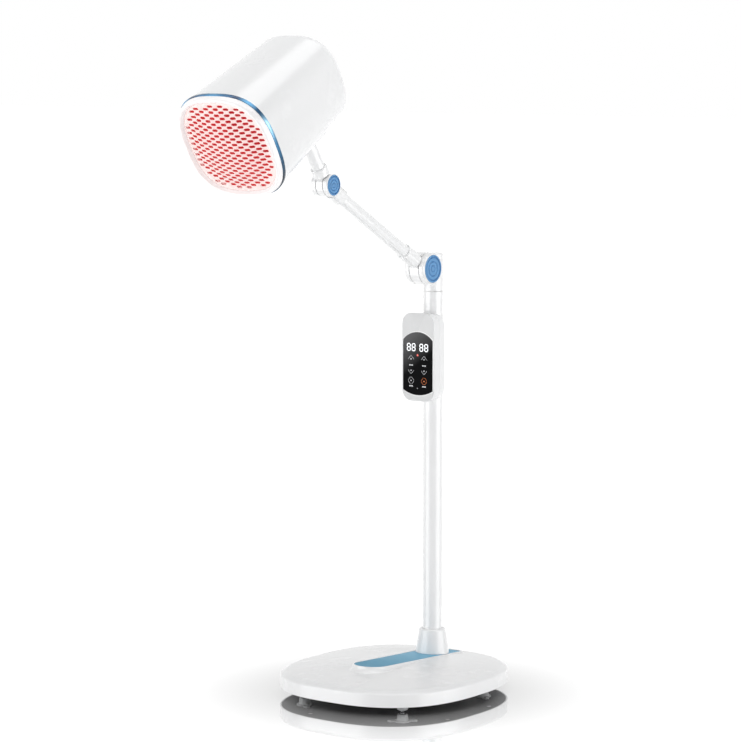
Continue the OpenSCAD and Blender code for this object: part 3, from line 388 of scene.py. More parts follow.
def blackGlass():
    # black behind the glass with a painted reflection, greyer towards its top left
    def paint(tree, coords, tint):
        up = alongAxis(tree, coords, (0, -0.6, 0.8), (0, 0, 0.53))
        # painted reflection: grey grows up and to the left
        return mixColour(tree, rangeNode(tree, up, 0.0, 0.055, 0.0, 1.0), tint, (0.15, 0.15, 0.155, 1))
    return finishMaterial(
        "blackGlass", (0.003, 0.003, 0.0035, 1), (0.004, 0.004, 0.005, 1), 0.04, 0.08,
        grain=300.0, relief=0.01, paint=paint, **{"IOR": 1.5, "Specular IOR Level": 0.015})


def castMetal():
    return finishMaterial(
        "castMetal", (0.07, 0.07, 0.075, 1), (0.11, 0.1, 0.095, 1), 0.5, 0.7, grain=300.0, relief=0.8,
        **{"Metallic": 0.9})


def platedSteel():
    return finishMaterial(
        "platedSteel", (0.55, 0.56, 0.57, 1), (0.62, 0.62, 0.62, 1), 0.22, 0.36, grain=1800.0, relief=0.15,
        **{"Metallic": 1.0})


def casterEnamel():
    return finishMaterial(
        "casterEnamel", (0.68, 0.69, 0.7, 1), (0.62, 0.63, 0.64, 1), 0.28, 0.42, grain=900.0, relief=0.15)


def polishedSteel():
    return finishMaterial(
        "polishedSteel", (0.7, 0.71, 0.72, 1), (0.66, 0.67, 0.68, 1), 0.06, 0.14, grain=600.0, relief=0.03,
        **{"Metallic": 1.0})


def brightSheet():
    # rolled sheet with the heater's red painted on as colour and a glow of its own: a painted reflection
    return finishMaterial(
        "brightSheet", (0.62, 0.2, 0.19, 1), (0.55, 0.15, 0.14, 1), 0.4, 0.55, grain=900.0, relief=0.1,
        **{"Metallic": 0.3, "Emission Color": (0.62, 0.02, 0.03, 1), "Emission Strength": 0.42})


def glowingCeramic():
    return finishMaterial(
        "glowingCeramic", (0.3, 0.03, 0.03, 1), (0.24, 0.02, 0.02, 1), 0.5, 0.7, grain=500.0, relief=0.3,
        **{"Emission Color": (0.62, 0.02, 0.03, 1), "Emission Strength": 0.5})


headPitch = 29.8   # degrees below the horizontal
ringLow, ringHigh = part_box("head_ring")
headMiddle = (np.array(ringLow) + np.array(ringHigh)) / 2
headDown = np.array([-math.sin(math.radians(headPitch)), 0.0, -math.cos(math.radians(headPitch))])
finishes = {
    "white_plastic": whitePlastic(), "white_metal": whiteEnamel(), "blue_plastic": blueLacquer(),
    "blue_ring": blueRing(), "guard_metal": guardEnamel(), "tray_plastic": trayPlastic(),
    "dark_plastic": darkPlastic(), "board": circuitBoard(), "black_glass": blackGlass(),
    "cast_metal": castMetal(), "steel": platedSteel(), "caster_metal": casterEnamel(),
    "ball_steel": polishedSteel(), "bright_sheet": brightSheet(), "ceramic": glowingCeramic(),
    "cap": blueCap(), "cap_shade": capShade(), "washer": paleNylon(), "bezel": bezelPlastic(),
    "bead": beadPlastic(), "box": boxPlastic(),
}
special = {"pan_bush": "washer", "elbow_washers": "washer", "wrist_washers": "washer", "head_bezel": "bezel",
           "control_front": "box"}
special.update({side + "_cap_" + way: "cap" for side in ("elbow", "wrist") for way in ("right", "left")})

slotOf = {s["node"]: s["material_slot"] for s in frame["record"]["subparts"]}
bodyOf = {n: b for b, names in frame["record"]["behaviour"]["bodies"].items() for n in names}
for name, obj in nodes.items():
    obj.data.materials.clear()
    obj.data.materials.append(finishes[special.get(name, slotOf[name])])
print("finishes made:", len(finishes))


def roundedPath(points, radii, steps=5):
    # a broken line with each corner replaced by a parabola arc that starts radius away from it
    points = np.array(points, float)
    path = [points[:1]]
    for before, corner, after, radius in zip(points[:-2], points[1:-1], points[2:], radii):
        inward, outward = before - corner, after - corner
        lengths = np.linalg.norm(inward), np.linalg.norm(outward)
        reach = min(radius, 0.49 * min(lengths))
        if reach <= 0:
            path.append(corner[None])
            continue
        start, end = corner + inward / lengths[0] * reach, corner + outward / lengths[1] * reach
        s = np.linspace(0, 1, steps + 1)[:, None]
        path.append((1 - s) ** 2 * start + 2 * s * (1 - s) * corner + s ** 2 * end)
    path.append(points[-1:])
    return np.vstack(path)


def gridFaces(rows, cols, loop=False):
    # quads between neighbours in a grid of points whose rows are closed, and its columns too where loop
    i, j = np.meshgrid(np.arange(rows if loop else rows - 1), np.arange(cols), indexing="ij")
    a, b = i * cols + j, i * cols + (j + 1) % cols
    c, d = ((i + 1) % rows) * cols + (j + 1) % cols, ((i + 1) % rows) * cols + j
    return np.stack([a, b, c, d], -1).reshape(-1, 4)


def surface(rings, loop=False, ends=True):
    # rings is rows by columns by xyz; ends closes the first and last row with a flat cap
    rows, cols = rings.shape[:2]
    faces = gridFaces(rows, cols, loop).tolist()
    if ends and not loop:
        faces += [list(range(cols))[::-1], [(rows - 1) * cols + k for k in range(cols)]]
    return rings.reshape(-1, 3), faces


def makePiece(name, surfaces, material, body, slotName, stands=(), sharp=32.0, merge=0.0):
    # joins surfaces into one mesh object that rides on a body and stands for CAD nodes
    points, faces, start = [], [], 0
    for pts, fcs in surfaces:
        points.append(pts)
        faces += [[k + start for k in f] for f in fcs]
        start += len(pts)
    mesh = bpy.data.meshes.new(name)
    mesh.from_pydata(np.vstack(points).tolist(), [], faces)
    work = bmesh.new()
    work.from_mesh(mesh)
    if merge > 0:
        bmesh.ops.remove_doubles(work, verts=work.verts, dist=merge)
    bmesh.ops.recalc_face_normals(work, faces=work.faces)
    work.to_mesh(mesh)
    work.free()
    mesh.shade_smooth()
    mesh.set_sharp_from_angle(angle=math.radians(sharp))
    mesh.materials.append(material)
    piece = bpy.data.objects.new(name, mesh)
    bpy.context.scene.collection.objects.link(piece)
    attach(piece, body)
    if stands:
        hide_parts(*stands)
    return piece


def standFor(node, surfaces, **more):
    # a piece with the finish and the body of the CAD node that it replaces
    return makePiece(node + "_form", surfaces, nodes[node].data.materials[0], bodyOf[node], slotOf[node],
                     stands=(node,), **more)


def softCopy(node, bevel=0.4 * mm, angle=30.0):
    # merged copy of a CAD node whose hard edges are rounded
    mesh = nodes[node].data.copy()
    work = bmesh.new()
    work.from_mesh(mesh)
    bmesh.ops.remove_doubles(work, verts=work.verts, dist=0.002 * mm)
    bmesh.ops.dissolve_limit(work, angle_limit=math.radians(1.5), verts=work.verts, edges=work.edges)
    work.to_mesh(mesh)
    work.free()
    mesh.shade_smooth()
    mesh.set_sharp_from_angle(angle=math.radians(angle))
    piece = bpy.data.objects.new(node + "_form", mesh)
    bpy.context.scene.collection.objects.link(piece)
    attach(piece, bodyOf[node])
    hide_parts(node)
    if bevel > 0:
        mod = piece.modifiers.new("edges", "BEVEL")
        mod.width, mod.segments = bevel, 2
        mod.limit_method, mod.angle_limit = "ANGLE", math.radians(angle)
        mod.harden_normals = True
    return piece


def powerRing(power, count):
    # unit rounded square |x|^n + |y|^n = 1 in polar steps
    t = np.linspace(0, 2 * np.pi, count, endpoint=False)
    c, s = np.cos(t), np.sin(t)
    r = (np.abs(c) ** power + np.abs(s) ** power) ** (-1 / power)
    return np.stack([r * c, r * s], -1)


def ringStack(unit, halves, heights):
    # scales the unit outline by each (half x, half y) and lifts it to each height
    halves, heights = np.asarray(halves, float), np.asarray(heights, float)
    flat = unit[None] * halves[:, None]
    return np.concatenate([flat, np.broadcast_to(heights[:, None, None], flat.shape[:2] + (1,))], -1)


def turned(profile, count=96):
    # profile of (radius, height) spun about Z
    t = np.linspace(0, 2 * np.pi, count, endpoint=False)
    r, z = profile[:, 0], profile[:, 1]
    return np.stack([r[:, None] * np.cos(t), r[:, None] * np.sin(t), np.repeat(z[:, None], count, 1)], -1)


base = {
    "power": 2.6,
    "gap": 15 * mm, "wallTop": 36 * mm, "crease": 41 * mm, "crown": 50 * mm,
    "bevelIn": 10 * mm, "wall": 3 * mm,
    "around": 288, "domeRings": 26,
}
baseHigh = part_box("base_cover")[1]
base["halfL"], base["halfW"] = baseHigh.x, baseHigh.y


def domeHeight(x, y):
    # crown falls with the square of the superellipse radius
    n = base["power"]
    f = (np.abs(x / (base["halfL"] - base["bevelIn"])) ** n
         + np.abs(y / (base["halfW"] - base["bevelIn"])) ** n) ** (2 / n)
    return base["crown"] - (base["crown"] - base["crease"]) * f


def baseShell(b):
    # outline carried up a profile of (inset, height): inside of the shell, rim, wall, bevel, dome
    unit = powerRing(b["power"], b["around"])
    rise = b["crown"] - b["crease"]
    f = np.linspace(1, 0, b["domeRings"])[1:]
    bevel = roundedPath(
        [(b["wall"], b["wallTop"] - b["wall"]), (b["wall"], b["gap"]), (0, b["gap"]),
         (0, b["wallTop"]), (b["bevelIn"], b["crease"]),
         (b["bevelIn"] + 4 * mm, b["crease"] + 0.45 * mm)],
        [1 * mm, 2.2 * mm, 3 * mm, 1.0 * mm], 6)
    halves = np.stack([b["halfL"] - bevel[:, 0], b["halfW"] - bevel[:, 0]], -1)
    heights = bevel[:, 1]
    edge = np.array([b["halfL"], b["halfW"]]) - b["bevelIn"]
    domeF = f[f < 0.965]
    halves = np.vstack([halves, domeF[:, None] * edge])
    heights = np.append(heights, b["crown"] - rise * domeF ** 2)
    rings = ringStack(unit, halves, heights)
    under = b["crown"] - b["wall"] - rise * domeF[::-1] ** 2
    inner = ringStack(unit, domeF[::-1, None] * (edge - b["wall"]), under)
    return surface(np.concatenate([inner, rings]), ends=True)


ridge = {
    "front": 90 * mm, "rear": -150 * mm, "half": 28 * mm, "rearRound": 3 * mm,
    "rim": 2 * mm, "skirt": 7 * mm, "frontRise": 9.5 * mm, "rearRise": 2.2 * mm,
    "recess": 0.5 * mm,
}
ridge["frontZ"] = float(domeHeight(ridge["front"], 0.0)) + ridge["frontRise"]
ridge["rearZ"] = float(domeHeight(ridge["rear"], 0.0)) + ridge["rearRise"]


def ridgeHeight(x):
    rise, run = ridge["frontZ"] - ridge["rearZ"], ridge["front"] - ridge["rear"]
    return ridge["rearZ"] + (x - ridge["rear"]) * rise / run


def tongueOutline(r, offset=0.0, steps=40):
    # half circle at the front, straight sides, small round corners at the rear, moved out by offset
    h, q = r["half"], r["rearRound"]
    t = np.linspace(-np.pi / 2, np.pi / 2, steps)
    front = np.stack([r["front"] - h + (h + offset) * np.cos(t), (h + offset) * np.sin(t)], -1)
    sides = np.linspace(r["front"] - h, r["rear"] + q, steps)[1:-1]
    left = np.stack([sides, np.full_like(sides, h + offset)], -1)
    t = np.linspace(np.pi / 2, np.pi, 9)
    corner = np.stack([r["rear"] + q + (q + offset) * np.cos(t), h - q + (q + offset) * np.sin(t)], -1)
    back = np.linspace(h - q, q - h, steps)[1:-1]
    back = np.stack([np.full_like(back, r["rear"] - offset), back], -1)
    return np.vstack([front, left, corner, back, corner[::-1] * (1, -1), left[::-1] * (1, -1)])


def ridgeShell(r):
    # skirt flares into the dome, turns over a thin rim and drops into the inlay's seat
    share = np.linspace(0, 1, 12)
    rows = []
    for s in share:   # s runs from the foot to the edge of the rim
        xy = tongueOutline(r, r["rim"] + r["skirt"] * (1 - s) ** 1.6)
        foot = domeHeight(xy[:, 0], xy[:, 1]) - 0.4 * mm
        top = ridgeHeight(xy[:, 0]) - 0.5 * mm
        rows.append(np.column_stack([xy, foot + (top - foot) * (s ** 1.25)]))
    for offset, drop in ((r["rim"] - 0.15 * mm, 0.2 * mm), (r["rim"] - 0.5 * mm, 0.0), (0.6 * mm, 0.0),
                         (0.25 * mm, 0.15 * mm), (0.15 * mm, 0.5 * mm), (0.15 * mm, 1.6 * mm)):
        xy = tongueOutline(r, offset)
        rows.append(np.column_stack([xy, ridgeHeight(xy[:, 0]) - drop]))
    return surface(np.array(rows), ends=True)


def inlayStrip(r):
    # outline shrunk towards the middle line, with a rounded edge and a slight crown
    edge = tongueOutline(r, 0.0)
    middle = np.clip(edge[:, 0], r["rear"] + r["half"], r["front"] - r["half"])
    core = np.column_stack([middle, np.zeros(len(edge))])
    rows = []
    for share, drop in ((1.0, 1.8), (1.0, 0.5), (0.996, 0.22), (0.985, 0.08), (0.965, 0.0), (0.8, -0.12),
                        (0.5, -0.25), (0.2, -0.32), (0.0, -0.33)):
        xy = core + (edge - core) * share
        rows.append(np.column_stack([xy, ridgeHeight(xy[:, 0]) - r["recess"] - drop * mm]))
    return surface(np.array(rows), ends=True)


standFor("base_cover", [baseShell(base), ridgeShell(ridge)], sharp=40, merge=0.002 * mm)
standFor("inlay_strip", [inlayStrip(ridge)], sharp=40, merge=0.002 * mm)

boot = {"foot": 28 * mm, "top": 21.5 * mm, "high": 41 * mm, "lip": 1.6 * mm}
poleLow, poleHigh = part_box("pole_tube")
pole = {"x": (poleLow.x + poleHigh.x) / 2, "radius": (poleHigh.y - poleLow.y) / 2}


def bootForm(b, p):
    # cone with rounded edges, its foot sheared to lie on the slope of the ridge
    bore = p["radius"] + 0.3 * mm
    slope = (b["foot"] - b["top"]) / b["high"]
    profile = roundedPath(
        [(bore, 0), (b["foot"], 0), (b["foot"] - slope * 3 * mm, 3 * mm),
         (b["top"] + slope * b["lip"], b["high"] - b["lip"]), (b["top"] - b["lip"], b["high"]),
         (bore, b["high"]), (bore, 0)],
        [0.5 * mm, 0.3 * mm, 1.2 * mm, 1.2 * mm, 0.4 * mm], 5)
    rings = turned(profile)
    lean = 1 - rings[..., 2] / b["high"]
    rings[..., 0] += p["x"]
    rings[..., 2] += ridgeHeight(p["x"]) + (ridgeHeight(rings[..., 0]) - ridgeHeight(p["x"])) * lean
    return surface(rings, loop=True)


standFor("pole_boot", [bootForm(boot, pole)])
print("base made")


head = {
    "power": 2.8, "long": 211.5 * mm, "taper": 0.85, "round": 20 * mm, "wall": 2.2 * mm,
    "ringHalf": 3 * mm, "proud": 0.8 * mm, "bezelDeep": 10 * mm, "lip": 8 * mm, "slope": 3.5 * mm,
    "guardEdge": 7.7 * mm, "around": 216,
}
head["half"] = (ringHigh.y - ringLow.y) / 2 - head["proud"]
head["shoulder"] = head["long"] - head["round"]
head["share"] = (1 - head["taper"]) / head["shoulder"]
head["unit"] = powerRing(head["power"], head["around"])


def toHead(points):
    # local x down through the head, y across, z forward out of it, turned about Y and moved
    a = math.radians(90 + headPitch)
    x, y, z = points[..., 0], points[..., 1], points[..., 2]
    turnedPoints = np.stack([x * math.cos(a) + z * math.sin(a), y, -x * math.sin(a) + z * math.cos(a)], -1)
    return turnedPoints + headMiddle


def headLoft(profile, **more):
    # rounded square outline carried along a profile of (half size, place along the head)
    profile = np.asarray(profile, float)
    rings = ringStack(head["unit"], np.repeat(profile[:, :1], 2, 1), profile[:, 1])
    return surface(toHead(rings), **more)


def halfAt(z):
    return head["half"] * (1 + head["share"] * z)


def piercedSheet(outline, holes, lift, thick, soften):
    # flat outline with holes, triangulated, lifted by a height function into a sheet with walls;
    # each hole's rim steps down by soften so its edge looks rounded
    wide = [outline]
    for hole in holes:
        out = hole - hole.mean(0)
        wide.append(hole + out / np.linalg.norm(out, axis=1, keepdims=True) * soften)
    sizes = [len(w) for w in wide]
    starts = np.cumsum([0] + sizes)
    flat = np.vstack(wide)
    edges = [(s + k, s + (k + 1) % n) for s, n in zip(starts, sizes) for k in range(n)]
    inside = [list(range(s, s + n))[::-1] for s, n in zip(starts[1:], sizes[1:])]
    verts, _, faces, origin, _, faceOrigin = delaunay_2d_cdt(
        [Vector(p) for p in flat], edges, [list(range(sizes[0]))] + inside, 1, 1e-7)
    verts = np.array([tuple(v) for v in verts])
    keep = [f for f, o in zip(faces, faceOrigin) if list(o) == [0]]
    index = {o[0]: k for k, o in enumerate(origin) if len(o)}
    front = np.column_stack([verts, lift(verts)])
    back = np.column_stack([verts, lift(verts) - thick])
    count = len(verts)
    allPoints = [front, back]
    allFaces = [list(f) for f in keep] + [[k + count for k in f[::-1]] for f in keep]
    start = 2 * count
    for loop, s, n in zip(holes, starts[1:], sizes[1:]):
        ring = [index[s + k] for k in range(n)]
        wall = np.column_stack([loop, lift(loop) - soften])
        low = np.column_stack([loop, lift(loop) - thick + soften])
        allPoints += [wall, low]
        for k in range(n):
            m = (k + 1) % n
            allFaces += [[ring[k], ring[m], start + m, start + k],
                         [start + k, start + m, start + n + m, start + n + k],
                         [start + n + k, start + n + m, ring[m] + count, ring[k] + count]]
        start += 2 * n
    return np.vstack(allPoints), allFaces


vents = {"long": 46 * mm, "high": 4 * mm, "pitch": 11 * mm, "count": 6}


def ventHoles(v, steps=8):
    # slots with round ends, side by side down the rear
    t = np.linspace(-np.pi / 2, np.pi / 2, steps)
    end = np.stack([v["high"] / 2 * np.sin(t), v["long"] / 2 + v["high"] / 2 * np.cos(t)], -1)
    outline = np.vstack([end, -end])
    places = (np.arange(v["count"]) - (v["count"] - 1) / 2) * v["pitch"]
    return [outline + (p, 0) for p in places]


def headShell(h):
    # side wall, round shoulder and pierced rear plate, which share the plate's outline
    core = halfAt(-h["shoulder"]) - h["round"]
    t = np.linspace(0, np.pi / 2, 15)
    outer = [(halfAt(z), z) for z in np.linspace(-h["ringHalf"], -h["shoulder"], 24)]
    outer += [(core + h["round"] * math.cos(a), -h["shoulder"] - h["round"] * math.sin(a)) for a in t[1:]]
    inRound = h["round"] - h["wall"]
    inner = [(core + inRound * math.cos(a), -h["shoulder"] - inRound * math.sin(a)) for a in t[::-1]]
    inner += [(halfAt(z) - h["wall"], z) for z in np.linspace(-h["shoulder"], -h["ringHalf"], 12)[1:]]
    sides = headLoft(outer, ends=False)
    lining = headLoft(inner, ends=False)
    edge = halfAt(-h["ringHalf"])
    rim = headLoft([(edge - h["wall"], -h["ringHalf"]), (edge, -h["ringHalf"])], ends=False)
    outline = h["unit"] * core
    points, faces = piercedSheet(
        outline, ventHoles(vents), lambda p: np.full(len(p), h["long"]), h["wall"], 0.3 * mm)
    points[:, 2] *= -1
    return [sides, lining, rim, (toHead(points), faces)]


def ringForm(h):
    # band with soft edges that stands a little proud of the shell
    out, inside, w = h["half"] + h["proud"], h["half"] - h["wall"] - 3 * mm, h["ringHalf"]
    profile = roundedPath(
        [(inside, -w), (out, -w), (out, w), (inside, w), (inside, -w)], [0.8 * mm, 0.8 * mm, 0], 4)
    return headLoft(profile[:-1], loop=True)


def bezelForm(h):
    # convex frame that rolls over a crest and slopes in to the guard
    front = h["ringHalf"] + h["bezelDeep"]
    inside = h["half"] - h["lip"] - 1.5 * mm
    ledge = h["ringHalf"] + 1 * mm
    back = inside - 3.5 * mm
    profile = roundedPath(
        [(back, h["ringHalf"]), (h["half"] - 0.3 * mm, h["ringHalf"]),
         (h["half"] - 1.5 * mm, front - 3.2 * mm),
         (h["half"] - 2.2 * mm, front - 1.4 * mm), (h["half"] - 3.4 * mm, front - 0.3 * mm),
         (h["half"] - 4.6 * mm, front), (inside + h["slope"], front - 0.5 * mm),
         (inside, h["guardEdge"] + 0.3 * mm), (inside, ledge), (back, ledge), (back, h["ringHalf"])],
        [0.4 * mm, 1.8 * mm, 0.9 * mm, 0.7 * mm, 0.7 * mm, 1.4 * mm, 1.2 * mm, 0.2 * mm, 0.3 * mm], 5)
    return headLoft(profile[:-1], loop=True)


guard = {
    "bulge": 9.5 * mm, "flange": 8 * mm, "blend": 0.5 * mm, "thick": 1.2 * mm, "rim": 2.2 * mm,
    "pitchY": 9.6 * mm, "pitchX": 9.3 * mm, "slotLong": 10.8 * mm, "slotHigh": 4.1 * mm, "point": 1.8 * mm,
    "keep": 1.8 * mm, "corner": 0.6 * mm, "soften": 0.25 * mm,
}
guard["half"] = head["half"] - head["lip"] - 1.8 * mm
guard["field"] = guard["half"] - guard["rim"] - 0.6 * mm


def cutOff(outline, normal, limit):
    # the part of a convex outline whose points lie below limit along normal
    ahead = np.roll(outline, -1, 0)
    a, b = outline @ normal - limit, ahead @ normal - limit
    points = []
    for p, q, da, db in zip(outline, ahead, a, b):
        if da <= 0:
            points.append(p)
        if da * db < 0:
            points.append(p + (q - p) * da / (da - db))
    return np.array(points)


def slotHoles(g):
    # staggered lozenge slots with blunt points; at the field's edge the edge's tangent cuts them off
    a, b, q = g["slotLong"] / 2, g["slotHigh"] / 2, g["point"]
    whole = np.array([(0, a), (-b, a - q), (-b, q - a), (0, -a), (b, q - a), (b, a - q)])
    n = head["power"]
    cols, rows = int(g["half"] / g["pitchY"]) + 1, int(g["half"] / g["pitchX"]) + 1
    holes = []
    for j in range(-cols, cols + 1):
        for i in range(-rows, rows + 1):
            place = np.array([(i + (0.5 if j % 2 else 0)) * g["pitchX"], j * g["pitchY"]])
            reach = (np.abs(place) ** n).sum() ** (1 / n)
            if reach >= g["field"] - g["keep"]:
                continue
            outline = whole + place
            if reach >= 0.8 * g["field"]:
                edge = place * g["field"] / reach
                normal = np.sign(edge) * np.abs(edge) ** (n - 1)
                normal /= np.linalg.norm(normal)
                outline = cutOff(outline, normal, edge @ normal)
            closed = np.vstack([outline[-1:], outline, outline[:1]])
            holes.append(roundedPath(closed, [g["corner"]] * len(outline), 3)[1:-1][::-1])
    return holes


def guardForm(g):
    # pierced sheet: flat flange that blends into a sphere cap, z = bulge - r + sqrt(r^2 - x^2 - y^2)
    dome = g["half"] - g["flange"]
    r = (dome ** 2 + g["bulge"] ** 2) / (2 * g["bulge"])
    low = head["ringHalf"] + 1.1 * mm

    def cap(p):
        high = g["bulge"] - r + np.sqrt(r ** 2 - p[:, 0] ** 2 - p[:, 1] ** 2)
        return head["guardEdge"] + (high + np.sqrt(high ** 2 + g["blend"] ** 2)) / 2

    def ringAt(half, z=None, drop=0.0):
        flat = head["unit"] * half
        return np.column_stack([flat, cap(flat) - drop if z is None else np.full(len(flat), z)])

    points, faces = piercedSheet(
        head["unit"] * (g["half"] - 0.5 * mm), slotHoles(g), cap, g["thick"], g["soften"])
    skirt = np.array([
        ringAt(g["half"] - 0.5 * mm), ringAt(g["half"] - 0.15 * mm, drop=0.15 * mm),
        ringAt(g["half"], drop=0.5 * mm), ringAt(g["half"], low),
        ringAt(g["half"] - g["rim"], low), ringAt(g["half"] - g["rim"], drop=g["thick"])])
    return [(toHead(points), faces), surface(toHead(skirt), ends=False)]


def reflectorForm(h):
    # flared box of thin sheet from the heater to the back of the bezel
    rear, front = 52 * mm, h["half"] - h["lip"] - 3.5 * mm
    low, high = -62 * mm, h["ringHalf"] - 0.3 * mm
    return headLoft([(rear + 1 * mm, low), (front, high), (front - 1 * mm, high), (rear, low)], loop=True)


standFor("head_shell", headShell(head), merge=0.01 * mm)
standFor("head_ring", [ringForm(head)])
standFor("head_bezel", [bezelForm(head)])
standFor("head_guard", guardForm(guard), merge=0.01 * mm, sharp=50)
standFor("reflector", [reflectorForm(head)])
print("head made")


for node in ("elbow_yoke", "elbow_hub", "wrist_yoke", "wrist_hub", "head_saddle"):
    softCopy(node)
for node in ("pole_tube", "arm_tube", "neck_tube", "control_front", "control_back", "control_glass"):
    softCopy(node, bevel=0.25 * mm)

cap = {
    "edge": 0.8 * mm, "soft": 0.4 * mm, "grooves": ((0.795, 0.885), (0.485, 0.555), (0.19, 0.25)),
    # (share of the radius, drop from the top) of the turned steps between edge and middle
    "steps": ((0.9, 0.0), (0.87, 1.5), (0.8, 1.6), (0.77, 0.5), (0.58, 0.6), (0.55, 1.7), (0.49, 1.7),
              (0.46, 0.6), (0.28, 0.7), (0.25, 1.6), (0.2, 1.6), (0.17, 0.8), (0.02, 0.8)),
}


def capForm(node, c):
    # dished cover turned about the joint's axis, its steps rounded
    low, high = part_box(node)
    radius, side = (high.x - low.x) / 2, 1 if high.y + low.y > 0 else -1
    base, top = min(abs(low.y), abs(high.y)), max(abs(low.y), abs(high.y))
    steps = [(share * radius, top - drop * mm) for share, drop in c["steps"]]
    corners = [(radius, base), (radius, top - c["edge"]), (radius - c["edge"], top)] + steps
    profile = roundedPath(corners, [c["soft"]] * len(corners), 4)
    rings = turned(profile, 120)
    middle = ((low.x + high.x) / 2, (low.z + high.z) / 2)
    return surface(np.stack([rings[..., 0] + middle[0], side * rings[..., 2], rings[..., 1] + middle[1]], -1))


for node in ("elbow_cap_right", "elbow_cap_left", "wrist_cap_right", "wrist_cap_left"):
    cover = standFor(node, [capForm(node, cap)], sharp=50)
    centres = np.empty(len(cover.data.polygons) * 3)   # painted shade: the grooves get a darker blue
    cover.data.polygons.foreach_get("center", centres)
    low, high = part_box(node)
    centres = centres.reshape(-1, 3)[:, (0, 2)] - ((low.x + high.x) / 2, (low.z + high.z) / 2)
    share = np.linalg.norm(centres, axis=1) / ((high.x - low.x) / 2)
    cover.data.materials.append(finishes["cap_shade"])
    cover.data.polygons.foreach_set(
        "material_index", sum((share > a) & (share < b) for a, b in cap["grooves"]).astype(np.int32))
print("arm made")


glassLow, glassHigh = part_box("control_glass")
panel = {
    "x": glassHigh.x, "relief": 0.06 * mm,
    "digitTall": 12.8 * mm, "digitWide": 7.4 * mm, "stroke": 1.5 * mm, "slit": 0.3 * mm,
    "digitY": (-18.2, -8.6, 6.9, 16.6),   # middles of the digits, in millimetres
    "digitZ": 557.0, "ledY": -0.6, "ledZ": 544.3,
    "keyY": (-13.6, 12.3), "upZ": 537.2, "downZ": 519.4, "keyZ": 502.3,
    "labelZ": (527.6, 493.4), "veeZ": 489.5, "line": 0.42 * mm,
    "roofHalf": 5.5 * mm, "roofHigh": 6.0 * mm, "dot": 1.05 * mm, "dotLift": 0.4 * mm,
    "bar": (0.95, 0.9), "barPitch": 2.6 * mm,   # half width and half height of a bar, in millimetres
    "diamond": (5.6, 6.2), "power": 1.25, "keyDot": 1.1 * mm,
    "veeHalf": 1.6 * mm, "veeHigh": 1.4 * mm, "veeLine": 0.35 * mm,
    "lamp": 1.1 * mm, "halo": 1.7 * mm, "haloWide": 0.9 * mm,
}


def glowMaterial(name, colour, strength):
    mat, tree, bsdf, coords = newMaterial(
        name,
        **{"Base Color": colour, "Roughness": 0.4, "Emission Color": colour, "Emission Strength": strength})
    level = rangeNode(tree, noiseNode(tree, coords, 900.0, 2.0), 0.3, 0.7, 0.85, 1.0)
    tint = mixColour(tree, level, tuple(0.8 * c for c in colour[:3]) + (1,), colour)
    tree.links.new(tint, bsdf.inputs["Emission Color"])
    return mat


def flatMarks(name, shapes, material):
    # thin plates on the glass; each shape is an outline of (across, up) points in metres
    surfaces = []
    for shape in shapes:
        shape = np.asarray(shape, float)
        rows = [np.column_stack([np.full(len(shape), panel["x"] + d), shape]) for d in (0.0, panel["relief"])]
        surfaces.append(surface(np.array(rows), ends=True))
    return makePiece(name, surfaces, material, "stand", "black_glass")


def segmentShapes(p, y, z):
    # seven bars of a figure eight, each a bar with pointed ends
    w, t, s = (p["digitWide"] - p["stroke"]) / 2, p["stroke"] / 2, p["slit"]
    tall = (p["digitTall"] - p["stroke"]) / 4

    def bar(cy, cz, along):
        half = (w if along == "y" else tall) - s
        out = np.array([
            (-half, 0), (-half + t, -t), (half - t, -t), (half, 0), (half - t, t), (-half + t, t)])
        return (out if along == "y" else out[:, ::-1]) + (y + cy, z + cz)
    return [bar(0, 2 * tall, "y"), bar(0, 0, "y"), bar(0, -2 * tall, "y"),
            bar(-w, tall, "z"), bar(w, tall, "z"), bar(-w, -tall, "z"), bar(w, -tall, "z")]


def bandShape(points, width):
    # line of a given width along points, as one outline
    points = np.asarray(points, float)
    along = np.gradient(points, axis=0)
    normal = np.stack([-along[:, 1], along[:, 0]], -1) / np.linalg.norm(along, axis=1, keepdims=True)
    return np.vstack([points + normal * width / 2, (points - normal * width / 2)[::-1]])


def discShape(y, z, r, count=20):
    t = np.linspace(0, 2 * np.pi, count, endpoint=False)
    return np.stack([y + r * np.cos(t), z + r * np.sin(t)], -1)


bead = {
    "straight": 82 * mm, "arcTop": 13 * mm, "arcLow": 8 * mm,   # the glass: straight sides, two arcs
    "inside": 0.15 * mm, "wide": 1.5 * mm, "high": 0.55 * mm, "sunk": 0.05 * mm,
    "x": -64.0 * mm,
}


def glassOutline(b, grow, steps=24):
    # straight sides of the glass closed by an arc above and one below, moved out by grow
    w, h = (glassHigh.y - glassLow.y) / 2 + grow, b["straight"] / 2
    middle = (glassLow.z + b["arcLow"] + glassHigh.z - b["arcTop"]) / 2
    parts = []
    for rise, way in ((b["arcTop"] + grow, 1), (b["arcLow"] + grow, -1)):
        r = (w * w + rise * rise) / (2 * rise)
        t = np.linspace(-1, 1, steps) * math.asin(w / r)
        arc = np.stack([way * r * np.sin(t), middle + way * (h + rise - r + r * np.cos(t))], -1)
        parts.append(arc)
    return np.vstack(parts)


def glassBead(b):
    # half round white band on the front, swept round the glass
    t = np.linspace(0, np.pi, 9)
    rows = []
    for a in t:
        yz = glassOutline(b, b["inside"] + b["wide"] * (1 - math.cos(a)) / 2)
        x = b["x"] - b["sunk"] + (b["high"] + b["sunk"]) * math.sin(a)
        rows.append(np.column_stack([np.full(len(yz), x), yz]))
    return surface(np.array(rows), loop=True)


makePiece("glass_bead", [glassBead(bead)], finishes["bead"], "stand", "white_plastic", sharp=60)


